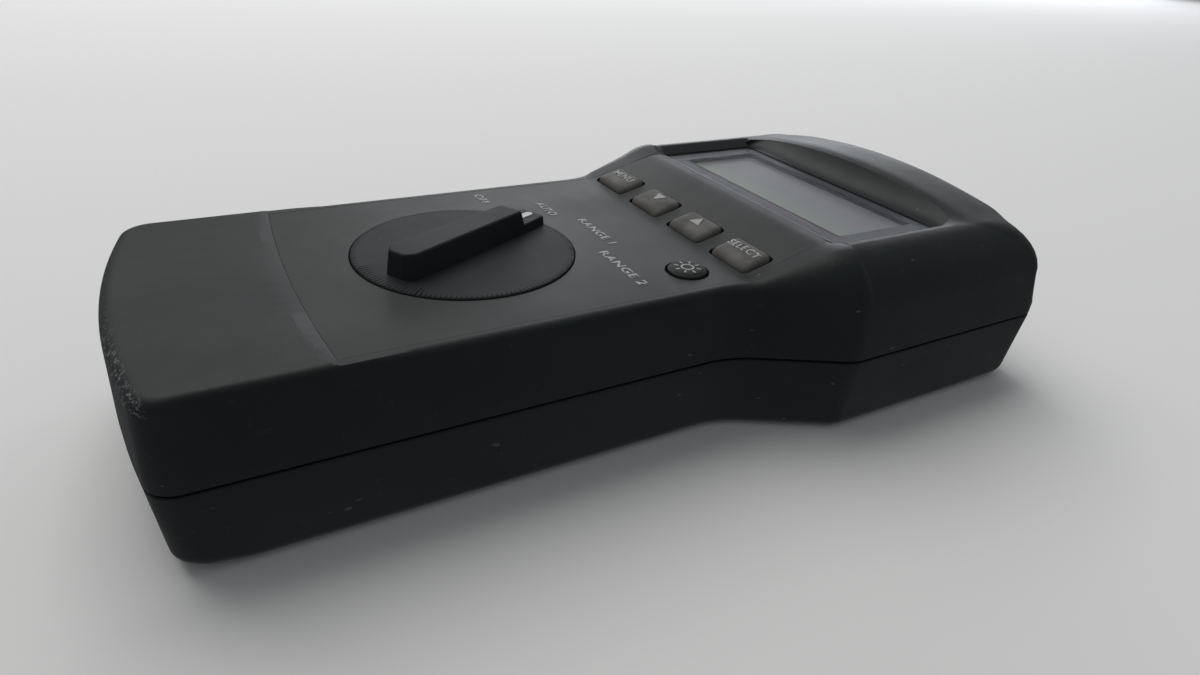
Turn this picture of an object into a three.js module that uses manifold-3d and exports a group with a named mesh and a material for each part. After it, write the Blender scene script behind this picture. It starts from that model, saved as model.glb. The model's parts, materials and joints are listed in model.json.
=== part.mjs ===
// A hand-held network cable tester: a two-part case with a narrow grip and a wide head, a rotary
// mode switch, four keys and a backlight key, a two-line display under a hood, a modular jack and
// a coaxial jack in the head's end wall, and two AA cells behind a door in the underside.
// Millimetres. +X is the user's right, +Y runs from the butt to the head, +Z stands up from the face.
import * as THREE from "three";
import { mergeVertices } from "three/addons/utils/BufferGeometryUtils.js";
import Module from "manifold-3d";

const wasm = await Module();
wasm.setup();

// ---------------------------------------------------------------- driving dimensions
const CASE_LENGTH = 192.2;
const GRIP_HALF = 35.4; // half widths are at the seam
const HEAD_HALF = 47.6;
const SEAM_Z = 17.2;
const FACE_Z = 33; // the grip's face; the underside is z = 0
const BUTT_RISE = 0.4; // the butt stands this far above the grip's face
const HEAD_RISE = 4.8;
const HOOD_RISE = 9;
const HOOD_START = 3; // the hood's crown starts this far before the window's far edge
const HOOD_RUN = 12; // and is full after this length
const END_FALL = { length: 14, rate: 0.012 }; // the head falls away towards its end
const GAP = 0.3; // between pieces that touch
const SEAM_GAP = 0.4;
const WALL = 2.4;
const FACE_WALL = 3.6;

const BUTT_Y = -CASE_LENGTH / 2;
const HEAD_Y = CASE_LENGTH / 2;
const BUTT_BOW = 150; // radii of the bowed ends, seen from above
const HEAD_BOW = 700;
const BUTT_CORNER = 5;
const HEAD_CORNER = 6;
const NECK_RADIUS = 22;
const SHOULDER_RADIUS = 8;
const SHOULDER_ANGLE = THREE.MathUtils.degToRad(27.8);
const BUTT_EDGE = 2.5; // radii of the case's top edges
const GRIP_EDGE = 1.8;
const NECK_EDGE = 2.4;
const HEAD_EDGE = 12;
const CORNER_EDGE = 7;
const END_EDGE = 7;
const BASE_EDGE = 2.5;
const HEAD_BASE_EDGE = 3;
const LEAST_EDGE = 0.5; // the smallest radius that an inner edge keeps
const DRAFT_TOP = 0.6; // how far a side leans in between the seam and its edge
const DRAFT_BASE = 1;
const CORNER_LEAN = 2.6; // how much further the upper half leans in at the head's corners
const END_LEAN = 1.6; // and at the middle of its end

const DIAL_Y = BUTT_Y + 64.2;
const DIAL_RADIUS = 22.15;
const DIAL_CLEAR = 0.35;
const DIAL_STEP = THREE.MathUtils.degToRad(33); // one switch position
const POINTER_ANGLE = THREE.MathUtils.degToRad(26.5); // rest position, from +Y towards -X
const BAR_HEIGHT = 5.2;

const NECK_Y = DIAL_Y + 37.3;
const RAMP_START = DIAL_Y + 45;
const RAMP_END = DIAL_Y + 66;
const KEY_ROW = DIAL_Y + 50.8;
const KEY_SIZE = { wide: 11.6, deep: 7 };
const KEY_PITCH = 16.4;
const KEY_STAND = 1; // a key's top above the face
const KEY_TRAVEL_ROOM = 1.3;
const LIGHT_KEY = { x: 24.8, y: DIAL_Y + 37.4, radius: 4 };

const PANEL_END = DIAL_Y - 33.8; // the butt end of the grip's lowered face
const PANEL_BOW = 330;
const BUTT_RUN_OUT = { start: 5.4, length: 8 }; // where the butt's rise ends, from the panel's end
const OVERLAY = { half: 32.3, top: DIAL_Y + 67.2, thick: 0.6 };
const WINDOW = { half: 32.9, y0: DIAL_Y + 69.6, y1: DIAL_Y + 98.5, drop: 0.8, thick: 1.5 };
const SIGHT = { half: 30.2, y0: WINDOW.y0 + 3.6, y1: WINDOW.y1 - 3.6 };
const SCOOP = { depth: 6.4, half: 33.6, bow: 0.0006 };
const LAND = 0.5; // the flat edge between the window's pocket and the hollow

const BOARD = { z0: 21.5, z1: 23.1 };
const DISPLAY_BOARD = { z0: 26.4, z1: 28 };
const ROTOR = { z0: 25.2, z1: 27.8, radius: 17 };
const DIAL_FLOOR = 30.7; // the switch's recess in the case
const DIAL_BOSS = { radius: 25.6, z: 28.4 };
const HUB_RADIUS = 5.5;
const DETENT_RADIUS = 12;

const CELL = { radius: 7.2, length: 50.2, x: 7.7, z: 10.2, y0: DIAL_Y - 50.2 };
const TRAY = { half: 16.9, y0: DIAL_Y - 54.4, y1: DIAL_Y + 4.4, roof: 17.8, wall: 1.2 };
const DOOR = { half: 19, y0: DIAL_Y - 52, y1: DIAL_Y + 10, thick: 1.9 };
const SCREWS = [
  { x: 27.5, y: DIAL_Y - 49.5 },
  { x: 39.2, y: DIAL_Y + 76 },
];
const SCREW = { shank: 1.45, head: 2.9, headDepth: 2, top: 26 };

const BOARD_SCREWS = [
  { x: -25, y: DIAL_Y + 33 },
  { x: 30, y: DIAL_Y + 107 },
];

const JACK = { x: 16, half: 8, z0: 8.4, z1: 21.2, front: HEAD_Y - 1.4, deep: 16 };
const PLUG = { half: 5.95, z0: 10.6, z1: 17.6, deep: 12.4 };
const CONTACTS = Array.from({ length: 8 }, (_, i) => (i - 3.5) * 1.27);
const COAX = { x: -17, z: 13.4, barrel: 4.8, neck: 6, reach: 11 };

// ---------------------------------------------------------------- materials
function finish(color, roughness, metalness = 0) {
  return new THREE.MeshStandardMaterial({ color, roughness, metalness });
}
const CASE = finish(0x272c2e, 0.6);
const FACE = finish(0x3b3c3c, 0.6);
const KEY_RUBBER = finish(0x57534d, 0.8);
const DARK_RUBBER = finish(0x2a2b2b, 0.85);
const CLEAR = finish(0xb9c3c8, 0.1);
const LCD = finish(0x9fa89a, 0.2);
const TIN = finish(0xb4b4ac, 0.35, 1);
const STEEL = finish(0x8e9194, 0.35, 1);
const BRASS = finish(0xc2a25a, 0.35, 1);
const LAMINATE = finish(0x1f5a33, 0.5);
const CHIP = finish(0x1b1b1c, 0.5);
const WHITE = finish(0xd9dad6, 0.6);
const JACKET = finish(0x30506e, 0.5);

// ---------------------------------------------------------------- solids
// three.js geometry to a solid and back; solids only join and cut.
function solid(geometry) {
  const bare = geometry.clone();
  bare.deleteAttribute("normal");
  bare.deleteAttribute("uv");
  const merged = mergeVertices(bare, 1e-4);
  const index = merged.index.array;
  const kept = [];
  for (let i = 0; i < index.length; i += 3) {
    const [a, b, c] = [index[i], index[i + 1], index[i + 2]];
    if (a !== b && b !== c && c !== a) kept.push(a, b, c);
  }
  return new wasm.Manifold(
    new wasm.Mesh({
      numProp: 3,
      vertProperties: merged.attributes.position.array,
      triVerts: new Uint32Array(kept),
    }),
  );
}

function geometryOf(made) {
  const mesh = made.getMesh();
  const geometry = new THREE.BufferGeometry();
  geometry.setAttribute("position", new THREE.BufferAttribute(mesh.vertProperties, 3));
  geometry.setIndex(new THREE.BufferAttribute(mesh.triVerts, 1));
  geometry.computeVertexNormals();
  return geometry;
}

const join = (...solids) => solids.reduce((whole, next) => whole.add(next));
const cut = (body, ...tools) => tools.reduce((left, tool) => left.subtract(tool), body);

// A block between two opposite corners.
function block(x0, x1, y0, y1, z0, z1) {
  const geometry = new THREE.BoxGeometry(x1 - x0, y1 - y0, z1 - z0);
  return solid(geometry.translate((x0 + x1) / 2, (y0 + y1) / 2, (z0 + z1) / 2));
}

// A round bar that stands on z0 and ends at z1.
function disc(x, y, z0, z1, radius, sides = 24) {
  const geometry = new THREE.CylinderGeometry(radius, radius, z1 - z0, sides);
  return solid(geometry.rotateX(Math.PI / 2).translate(x, y, (z0 + z1) / 2));
}

// A round bar along Y.
function rodY(x, z, y0, y1, radius, sides = 24) {
  const geometry = new THREE.CylinderGeometry(radius, radius, y1 - y0, sides);
  return solid(geometry.translate(x, (y0 + y1) / 2, z));
}

// A shape turned about an axis along Y, from its [radius, y] profile.
function turnedY(x, z, profile, sides = 24) {
  const points = profile.map(([radius, y]) => new THREE.Vector2(radius, y));
  return solid(new THREE.LatheGeometry(points, sides).translate(x, 0, z));
}

// A plan outline of [x, y] points raised from z0 to z1.
function prism(points, z0, z1) {
  const shape = new THREE.Shape(points.map(([x, y]) => new THREE.Vector2(x, y)));
  const geometry = new THREE.ExtrudeGeometry(shape, { depth: z1 - z0, bevelEnabled: false });
  return solid(geometry.translate(0, 0, z0));
}

// A side profile of [y, z] points drawn out from x0 to x1.
function profileX(points, x0, x1) {
  const shape = new THREE.Shape(points.map(([y, z]) => new THREE.Vector2(y, z)));
  const geometry = new THREE.ExtrudeGeometry(shape, { depth: x1 - x0, bevelEnabled: false });
  geometry.rotateY(Math.PI / 2).rotateX(Math.PI / 2);
  return solid(geometry.translate(x0, 0, 0));
}

// A round wire along a curve.
function wire(curve, radius, steps, sides = 8) {
  const section = new THREE.Shape().absarc(0, 0, radius, 0, 2 * Math.PI);
  const settings = { extrudePath: curve, steps, curveSegments: sides, bevelEnabled: false };
  return solid(new THREE.ExtrudeGeometry(section, settings));
}

// ---------------------------------------------------------------- the case's outline and face
// 0 before t = 0, 1 after t = 1 and a straight ramp with rounded ends between them.
function ramp(t, ease = 0.14) {
  if (t <= 0) return 0;
  if (t >= 1) return 1;
  if (t < ease) return (t * t) / (2 * ease * (1 - ease));
  if (t > 1 - ease) return 1 - ((1 - t) * (1 - t)) / (2 * ease * (1 - ease));
  return (t - ease / 2) / (1 - ease);
}

// The face's height: a low butt, the grip, a ramp up to the head, and the hood's crown.
function faceHeight(x, y) {
  const butt = BUTT_RISE * (1 - ramp((y - PANEL_END - BUTT_RUN_OUT.start) / BUTT_RUN_OUT.length));
  const head = HEAD_RISE * ramp((y - RAMP_START) / (RAMP_END - RAMP_START));
  const across = Math.max(0, 1 - (x / (HEAD_HALF - HEAD_EDGE)) ** 2);
  const along = ramp((y - WINDOW.y1 + HOOD_START) / HOOD_RUN);
  const fall = Math.max(0, y - HEAD_Y + END_FALL.length) ** 2 * END_FALL.rate;
  return FACE_Z + butt + head + (HOOD_RISE - HEAD_RISE) * across * along - fall;
}

// The fillet between a straight side and a bowed end whose centre lies on the middle line.
function endCorner(sideX, bowCentre, bowRadius, radius, towards) {
  const x = sideX - radius;
  const rise = towards * Math.sqrt((bowRadius - radius) ** 2 - x ** 2);
  return { x, y: bowCentre + rise, radius, angle: Math.atan2(rise, x) };
}

const OUTLINE_STEPS = { bow: 5, corner: 4, grip: 3, neck: 3, slope: 2, shoulder: 3, head: 3 };
// The right half of the plan outline, from the butt's middle to the head's, moved in by `inset`.
// Each point carries the radius of the top edge there and how far the upper half leans in.
function outline(inset) {
  const points = [];
  const span = (steps, place, [edge0, edge1], [lean0, lean1] = [0, 0]) => {
    for (let i = 0; i < steps; i++) {
      const t = i / steps;
      points.push([...place(t), edge0 + (edge1 - edge0) * t, lean0 + (lean1 - lean0) * t]);
    }
  };
  const arc = (cx, cy, radius, from, to) => (t) => {
    const angle = from + (to - from) * t;
    return [cx + radius * Math.cos(angle), cy + radius * Math.sin(angle)];
  };
  const line = (x0, y0, x1, y1) => (t) => [x0 + (x1 - x0) * t, y0 + (y1 - y0) * t];
  const headRound = HEAD_CORNER + 0.5 * inset; // the head's corners grow rounder as they rise

  const gripX = GRIP_HALF - inset;
  const headX = HEAD_HALF - inset;
  const buttCentre = BUTT_Y + BUTT_BOW;
  const headCentre = HEAD_Y - HEAD_BOW;
  const butt = endCorner(gripX, buttCentre, BUTT_BOW - inset, BUTT_CORNER, -1);
  const head = endCorner(headX, headCentre, HEAD_BOW - inset, headRound, 1);

  const neck = NECK_RADIUS + inset;
  const [sin, cos] = [Math.sin(SHOULDER_ANGLE), Math.cos(SHOULDER_ANGLE)];
  const slope0 = [GRIP_HALF + NECK_RADIUS - neck * cos, NECK_Y + neck * sin];
  const reach = slope0[0] * cos - slope0[1] * sin; // how far out the sloping side lies
  const round = Math.max(SHOULDER_RADIUS - inset, LEAST_EDGE);
  const shoulderX = headX - round;
  const shoulderY = (shoulderX * cos - reach + round) / sin;
  const slope1 = [shoulderX + round * cos, shoulderY - round * sin];

  const n = OUTLINE_STEPS;
  const end = Math.PI / 2;
  const neckX = GRIP_HALF + NECK_RADIUS;
  const slopeEdge = HEAD_EDGE - 2;
  const [butt0, butt1] = [-end, butt.angle];
  const neck1 = Math.PI - SHOULDER_ANGLE;
  span(n.bow, arc(0, buttCentre, BUTT_BOW - inset, butt0, butt1), [BUTT_EDGE, BUTT_EDGE]);
  span(n.corner, arc(butt.x, butt.y, butt.radius, butt1, 0), [BUTT_EDGE, GRIP_EDGE]);
  span(n.grip, line(gripX, butt.y, gripX, NECK_Y), [GRIP_EDGE, GRIP_EDGE]);
  span(n.neck, arc(neckX, NECK_Y, neck, Math.PI, neck1), [GRIP_EDGE, NECK_EDGE]);
  span(n.slope, line(...slope0, ...slope1), [NECK_EDGE, slopeEdge]);
  span(n.shoulder, arc(shoulderX, shoulderY, round, -SHOULDER_ANGLE, 0), [slopeEdge, HEAD_EDGE]);
  span(n.head, line(headX, shoulderY, headX, head.y), [HEAD_EDGE, HEAD_EDGE]);
  const cornerLean = [0, CORNER_LEAN];
  const cornerEdge = [HEAD_EDGE, CORNER_EDGE];
  span(n.corner, arc(head.x, head.y, head.radius, 0, head.angle), cornerEdge, cornerLean);
  const endLean = [CORNER_LEAN, END_LEAN];
  const bow = arc(0, headCentre, HEAD_BOW - inset, head.angle, end);
  span(n.bow, bow, [CORNER_EDGE, END_EDGE], endLean);
  points.push([0, HEAD_Y - inset, END_EDGE, END_LEAN]);
  points[0][0] = 0;
  return points;
}

// The whole outline at one inset, as [x, y] points.
function ring(inset) {
  const half = outline(inset).map(([x, y]) => [x, y]);
  const mirrored = half.slice(1, -1).reverse().map(([x, y]) => [-x, y]);
  return [...half, ...mirrored];
}

// Every point of the half outline at an inset and a height of its own.
const OUTLINES = new Map();
function outlineAt(inset) {
  const key = inset.toFixed(3);
  if (!OUTLINES.has(key)) OUTLINES.set(key, outline(inset));
  return OUTLINES.get(key);
}
function station(edgeOf, insetOf, heightOf) {
  return outlineAt(0).map(([, seamY, topEdge, lean], i) => {
    const edge = edgeOf(topEdge, seamY);
    const [x, y] = outlineAt(insetOf(edge, lean))[i];
    return [x, y, heightOf(edge, x, y)];
  });
}

// A closed solid from stations listed upwards, symmetric about x = 0. Each end is closed by rows
// that run straight across, raised to `crown` when one is given.
function loft(stations, crown) {
  const columns = crown ? 6 : 1;
  const corners = [];
  const triangle = (a, b, c) => corners.push(...a, ...b, ...c);
  const quad = (a, b, c, d) => {
    triangle(a, b, c);
    triangle(a, c, d);
  };
  const mirror = ([x, y, z]) => [-x, y, z];
  for (let k = 0; k + 1 < stations.length; k++) {
    const [low, high] = [stations[k], stations[k + 1]];
    for (let i = 0; i + 1 < low.length; i++) {
      quad(low[i], low[i + 1], high[i + 1], high[i]);
      quad(mirror(low[i + 1]), mirror(low[i]), mirror(high[i]), mirror(high[i + 1]));
    }
  }
  const cap = (points, top) => {
    const row = ([x, y, z]) =>
      Array.from({ length: columns + 1 }, (_, c) => {
        const across = x * ((2 * c) / columns - 1);
        const inside = c > 0 && c < columns;
        return [across, y, top && crown && inside ? crown(across, y) : z];
      });
    for (let i = 0; i + 1 < points.length; i++) {
      const [near, far] = [row(points[i]), row(points[i + 1])];
      for (let c = 0; c < columns; c++) {
        if (top) quad(near[c], near[c + 1], far[c + 1], far[c]);
        else quad(far[c], far[c + 1], near[c + 1], near[c]);
      }
    }
  };
  cap(stations[0], false);
  cap(stations[stations.length - 1], true);
  const geometry = new THREE.BufferGeometry();
  geometry.setAttribute("position", new THREE.Float32BufferAttribute(corners, 3));
  return solid(geometry);
}

// The upper body's outside, or its inside when it is moved in by a wall and lowered by a face wall.
const EDGE_STEPS = 4;
const UPRIGHT = 2.5; // the sides rise straight this far above the seam, then lean in
function upperBody(z0, wall, faceWall) {
  const edgeOf = (topEdge) => Math.max(topEdge - wall, LEAST_EDGE);
  const stations = [z0, z0 + UPRIGHT].map((z) => station(edgeOf, () => wall, () => z));
  for (let k = 0; k <= EDGE_STEPS; k++) {
    const angle = (k / EDGE_STEPS) * (Math.PI / 2);
    const insetOf = (edge, lean) => wall + DRAFT_TOP + lean + edge * (1 - Math.cos(angle));
    const heightOf = (edge, x, y) => faceHeight(x, y) - faceWall - edge * (1 - Math.sin(angle));
    stations.push(station(edgeOf, insetOf, heightOf));
  }
  return loft(stations, (x, y) => faceHeight(x, y) - faceWall);
}

// The lower body's outside, or its inside when it is moved in by a wall and raised by a floor.
function lowerBody(z1, wall, floor) {
  const stations = [];
  const edgeOf = (_, y) => {
    const edge = BASE_EDGE + (HEAD_BASE_EDGE - BASE_EDGE) * ramp((y - HEAD_Y + 20) / 16);
    return Math.max(edge - wall, LEAST_EDGE);
  };
  for (let k = EDGE_STEPS - 1; k >= 0; k--) {
    const angle = (k / (EDGE_STEPS - 1)) * (Math.PI / 2);
    const insetOf = (edge) => wall + DRAFT_BASE + edge * (1 - Math.cos(angle));
    stations.push(station(edgeOf, insetOf, (edge) => floor + edge * (1 - Math.sin(angle))));
  }
  stations.push(station(edgeOf, () => wall, () => z1));
  return loft(stations);
}

// ---------------------------------------------------------------- the face
// A strip of the face between two depths below its surface, half as wide as `half`.
function faceStrip(half, y0, y1, deep, shallow) {
  const steps = 14;
  const rows = Array.from({ length: steps + 1 }, (_, i) => y0 + ((y1 - y0) * i) / steps);
  const height = (y) => faceHeight(HEAD_HALF, Math.max(y, PANEL_END + 16));
  const under = rows.map((y) => [y, height(y) - deep]);
  const over = rows.map((y) => [y, height(y) - shallow]).reverse();
  return profileX([...under, ...over], -half, half);
}

// The plan of the grip's lowered face: its butt end is bowed.
function panelPlan(half, grow) {
  const bow = Array.from({ length: 9 }, (_, i) => {
    const x = half * (1 - i / 4);
    return [x, PANEL_END - grow + (x * x) / (2 * PANEL_BOW)];
  });
  return [[-half, OVERLAY.top + grow], ...bow.reverse(), [half, OVERLAY.top + grow]];
}

const KEYS = ["key_menu", "key_down", "key_up", "key_select"].map((name, i) => ({
  name,
  x: (i - 1.5) * KEY_PITCH,
}));

// The openings for the switch and the keys, each wider than its piece by `clearance`.
function faceOpenings(clearance, z0) {
  const { wide, deep } = KEY_SIZE;
  const keys = KEYS.map(({ x }) =>
    block(
      x - wide / 2 - clearance,
      x + wide / 2 + clearance,
      KEY_ROW - deep / 2 - clearance,
      KEY_ROW + deep / 2 + clearance,
      z0,
      FACE_Z + 9,
    ),
  );
  return join(
    disc(LIGHT_KEY.x, LIGHT_KEY.y, z0, FACE_Z + 9, LIGHT_KEY.radius + clearance),
    ...keys,
  );
}

// The hollow that sweeps up from the window's far edge to the hood's rim.
function hoodScoop() {
  const [columns, rows] = [16, 6];
  const floorZ = FACE_Z + HEAD_RISE - WINDOW.drop;
  const y0 = WINDOW.y1 + GAP + LAND;
  const grid = [];
  for (let r = 0; r <= rows; r++) {
    const t = Math.max(0, r - 1) / (rows - 1);
    const back = r === 0 ? 2 * LAND : 0; // the first row lies in the window's pocket
    for (let c = 0; c <= columns; c++) {
      const x = SCOOP.half * Math.sin(((c / columns) * 2 - 1) * (Math.PI / 2) * 0.985);
      const end = Math.sqrt(1 - Math.abs(x / SCOOP.half) ** 12);
      const reach = (SCOOP.depth - SCOOP.bow * x * x) * end;
      const rim = faceHeight(x, y0 + reach);
      grid.push([x, y0 - back + reach * t, floorZ + (rim - floorZ) * t ** 1.6]);
    }
  }
  const lid = grid.map(([x, y]) => [x, y, FACE_Z + 12]);
  const at = (list, r, c) => list[r * (columns + 1) + c];
  const corners = [];
  const quad = (a, b, c, d) => corners.push(...a, ...b, ...c, ...a, ...c, ...d);
  for (let r = 0; r < rows; r++) {
    for (let c = 0; c < columns; c++) {
      quad(at(grid, r, c), at(grid, r + 1, c), at(grid, r + 1, c + 1), at(grid, r, c + 1));
      quad(at(lid, r, c), at(lid, r, c + 1), at(lid, r + 1, c + 1), at(lid, r + 1, c));
    }
    quad(at(grid, r, 0), at(lid, r, 0), at(lid, r + 1, 0), at(grid, r + 1, 0));
    const c = columns;
    quad(at(grid, r + 1, c), at(lid, r + 1, c), at(lid, r, c), at(grid, r, c));
  }
  for (let c = 0; c < columns; c++) {
    quad(at(grid, 0, c), at(grid, 0, c + 1), at(lid, 0, c + 1), at(lid, 0, c));
    quad(at(grid, rows, c + 1), at(grid, rows, c), at(lid, rows, c), at(lid, rows, c + 1));
  }
  const geometry = new THREE.BufferGeometry();
  geometry.setAttribute("position", new THREE.Float32BufferAttribute(corners, 3));
  return solid(geometry);
}

// ---------------------------------------------------------------- the case
// What the two jacks need cut out of the head's end wall.
function jackCuts() {
  const { x, half, z0, z1 } = JACK;
  const outside = HEAD_Y + 5;
  return [
    block(x - half - GAP, x + half + GAP, HEAD_Y - 9, outside, z0 - GAP, z1 + GAP),
    rodY(COAX.x, COAX.z, HEAD_Y - 9, outside, COAX.neck + GAP),
  ];
}

const screwPlaces = SCREWS.flatMap(({ x, y }) => [
  { x, y },
  { x: -x, y },
]);

function topCase() {
  const z0 = SEAM_Z + SEAM_GAP / 2;
  const inside = upperBody(z0 - 1, WALL, FACE_WALL);
  const bosses = screwPlaces.map(({ x, y }) => disc(x, y, SEAM_Z + 2.4, SCREW.top + 6, 3.4, 20));
  const boardPosts = BOARD_SCREWS.map(({ x, y }) =>
    disc(x, y, BOARD.z1 + GAP, faceHeight(x, y) - 2, 2.6, 16),
  );
  const dialBoss = disc(0, DIAL_Y, DIAL_BOSS.z, FACE_Z - 1, DIAL_BOSS.radius, 40);
  const shell = cut(upperBody(z0, 0, 0), inside);
  const filled = join(shell, dialBoss, ...bosses, ...boardPosts);
  const lowered = prism(panelPlan(GRIP_HALF + 5, 0), FACE_Z, FACE_Z + 6);
  const loweredEnd = block(-60, 60, DIAL_Y, HEAD_Y, FACE_Z - 1, FACE_Z + 9);
  const label = faceStrip(OVERLAY.half + GAP, PANEL_END - 4, OVERLAY.top + GAP, 0.9, -3);
  const labelPlan = prism(panelPlan(OVERLAY.half + GAP, 0.1), FACE_Z - 3, FACE_Z + 9);
  const windowSeat = FACE_Z + HEAD_RISE - WINDOW.drop - WINDOW.thick - GAP;
  const { half, y0, y1 } = WINDOW;
  return cut(
    filled,
    cut(lowered, loweredEnd),
    label.intersect(labelPlan),
    faceOpenings(0.7, FACE_Z - 9),
    disc(0, DIAL_Y, DIAL_FLOOR, FACE_Z + 9, DIAL_RADIUS + DIAL_CLEAR, 56),
    disc(0, DIAL_Y, DIAL_BOSS.z - 1, FACE_Z, HUB_RADIUS + 0.4, 28),
    block(-half - GAP, half + GAP, y0 - GAP, y1 + GAP, windowSeat, FACE_Z + 12),
    block(-SIGHT.half, SIGHT.half, SIGHT.y0, SIGHT.y1, FACE_Z - 4, FACE_Z + 9),
    hoodScoop(),
    ...screwPlaces.map(({ x, y }) => disc(x, y, SEAM_Z, SCREW.top + 1, SCREW.shank + GAP, 14)),
    ...BOARD_SCREWS.map(({ x, y }) => disc(x, y, BOARD.z0, BOARD.z1 + 6.5, 1.1 + GAP, 10)),
    ...jackCuts(),
  );
}

function bottomCase() {
  const z1 = SEAM_Z - SEAM_GAP / 2;
  const inside = lowerBody(z1 + 1, WALL, WALL);
  const lipIn = prism(ring(WALL + 1.5), z1 - 5, z1 + 3);
  const lip = cut(prism(ring(WALL + GAP), z1 - 2.5, z1 + 1.4), lipIn);
  const lipRoot = cut(prism(ring(WALL - 0.4), z1 - 2.5, z1 - 0.6), lipIn);
  const bosses = screwPlaces.map(({ x, y }) => disc(x, y, 0.5, SEAM_Z + 1.6, 4.2, 20));
  const { half, y0, y1, thick } = DOOR;
  const shoulder = 1.4; // the ledge that the door rests on
  return cut(
    join(cut(lowerBody(z1, 0, 0), inside), lip, lipRoot, ...bosses),
    block(-half - GAP, half + GAP, y0 - GAP, y1 + GAP, -1, thick + GAP),
    block(-half + shoulder, half - shoulder, y0 + shoulder, y1 - 7, -1, WALL + 1),
    block(-5.2, 5.2, y1 - 4.7, y1 - 1.9, -1, WALL + 1),
    ...screwPlaces.map(({ x, y }) => disc(x, y, -1, SEAM_Z + 3, SCREW.shank + GAP, 14)),
    ...screwPlaces.map(({ x, y }) => disc(x, y, -1, 3.2 + SCREW.headDepth, SCREW.head + GAP, 20)),
    ...jackCuts(),
  );
}

function batteryDoor() {
  const { half, y0, y1, thick } = DOOR;
  const plate = block(-half, half, y0, y1, 0, thick);
  const ridges = [0, 1, 2, 3].map((i) => block(-9, 9, y1 - 12 - 2.4 * i, y1 - 11 - 2.4 * i, -1, 0.5));
  const clip = block(-4.6, 4.6, y1 - 4.2, y1 - 3, thick - 0.5, WALL + 2.6);
  const barb = block(-4.6, 4.6, y1 - 4.2, y1 - 2.4, WALL + 1.6, WALL + 2.6);
  return join(cut(plate, ...ridges), clip, barb);
}

// A pan-head screw that comes in from the underside.
function caseScrew(x, y) {
  const z0 = 3.2;
  const z1 = z0 + SCREW.headDepth - GAP;
  const head = disc(x, y, z0, z1, SCREW.head, 20);
  const slotA = block(x - 1.7, x + 1.7, y - 0.35, y + 0.35, z0 - 1, z0 + 0.9);
  const slotB = block(x - 0.35, x + 0.35, y - 1.7, y + 1.7, z0 - 1, z0 + 0.9);
  return cut(join(head, disc(x, y, z1 - 0.5, SCREW.top, SCREW.shank, 14)), slotA, slotB);
}

function boardScrew(x, y) {
  return join(
    disc(x, y, BOARD.z0 - GAP - 1.2, BOARD.z0 - GAP, 2, 14),
    disc(x, y, BOARD.z0 - GAP - 0.2, BOARD.z1 + 6, 1.1, 10),
  );
}

// ---------------------------------------------------------------- face pieces
function faceOverlay() {
  const strip = faceStrip(OVERLAY.half, PANEL_END - 4, OVERLAY.top, OVERLAY.thick, 0);
  const plan = prism(panelPlan(OVERLAY.half, -0.3), FACE_Z - 3, FACE_Z + 9);
  return cut(
    strip.intersect(plan),
    disc(0, DIAL_Y, FACE_Z - 3, FACE_Z + 3, DIAL_RADIUS + DIAL_CLEAR, 56),
    faceOpenings(0.5, FACE_Z - 3),
  );
}

function lcdWindow() {
  const { half, y0, y1, drop, thick } = WINDOW;
  const z1 = FACE_Z + HEAD_RISE - drop;
  return block(-half, half, y0, y1, z1 - thick, z1);
}

function key(x) {
  const { wide, deep } = KEY_SIZE;
  const [y0, y1] = [KEY_ROW - deep / 2, KEY_ROW + deep / 2];
  const top = (y) => faceHeight(HEAD_HALF, y) + KEY_STAND;
  const base = DISPLAY_BOARD.z1 + KEY_TRAVEL_ROOM;
  const round = 0.7;
  const side = [
    [y0, base],
    [y1, base],
    [y1, top(y1) - round],
    [y1 - round, top(y1 - round)],
    [KEY_ROW, top(KEY_ROW) + 0.15],
    [y0 + round, top(y0 + round)],
    [y0, top(y0) - round],
  ];
  return profileX(side, x - wide / 2, x + wide / 2);
}

function lightKey() {
  const { x, y, radius } = LIGHT_KEY;
  const base = DISPLAY_BOARD.z1 + KEY_TRAVEL_ROOM;
  return join(
    disc(x, y, base, FACE_Z + 0.3, radius, 28),
    disc(x, y, FACE_Z, FACE_Z + 0.7, radius - 0.6, 28),
  );
}

// The sheet that the keys' webs belong to, clear of the keys themselves.
function keypadMat() {
  const [z0, z1] = [DISPLAY_BOARD.z1 + 0.1, DISPLAY_BOARD.z1 + 1];
  const sheet = join(
    block(-33, 33, KEY_ROW - 6, KEY_ROW + 6.5, z0, z1),
    block(LIGHT_KEY.x - 6.5, LIGHT_KEY.x + 6.5, LIGHT_KEY.y - 6, KEY_ROW, z0, z1),
  );
  return cut(sheet, faceOpenings(0.4, z0 - 1));
}

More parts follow.
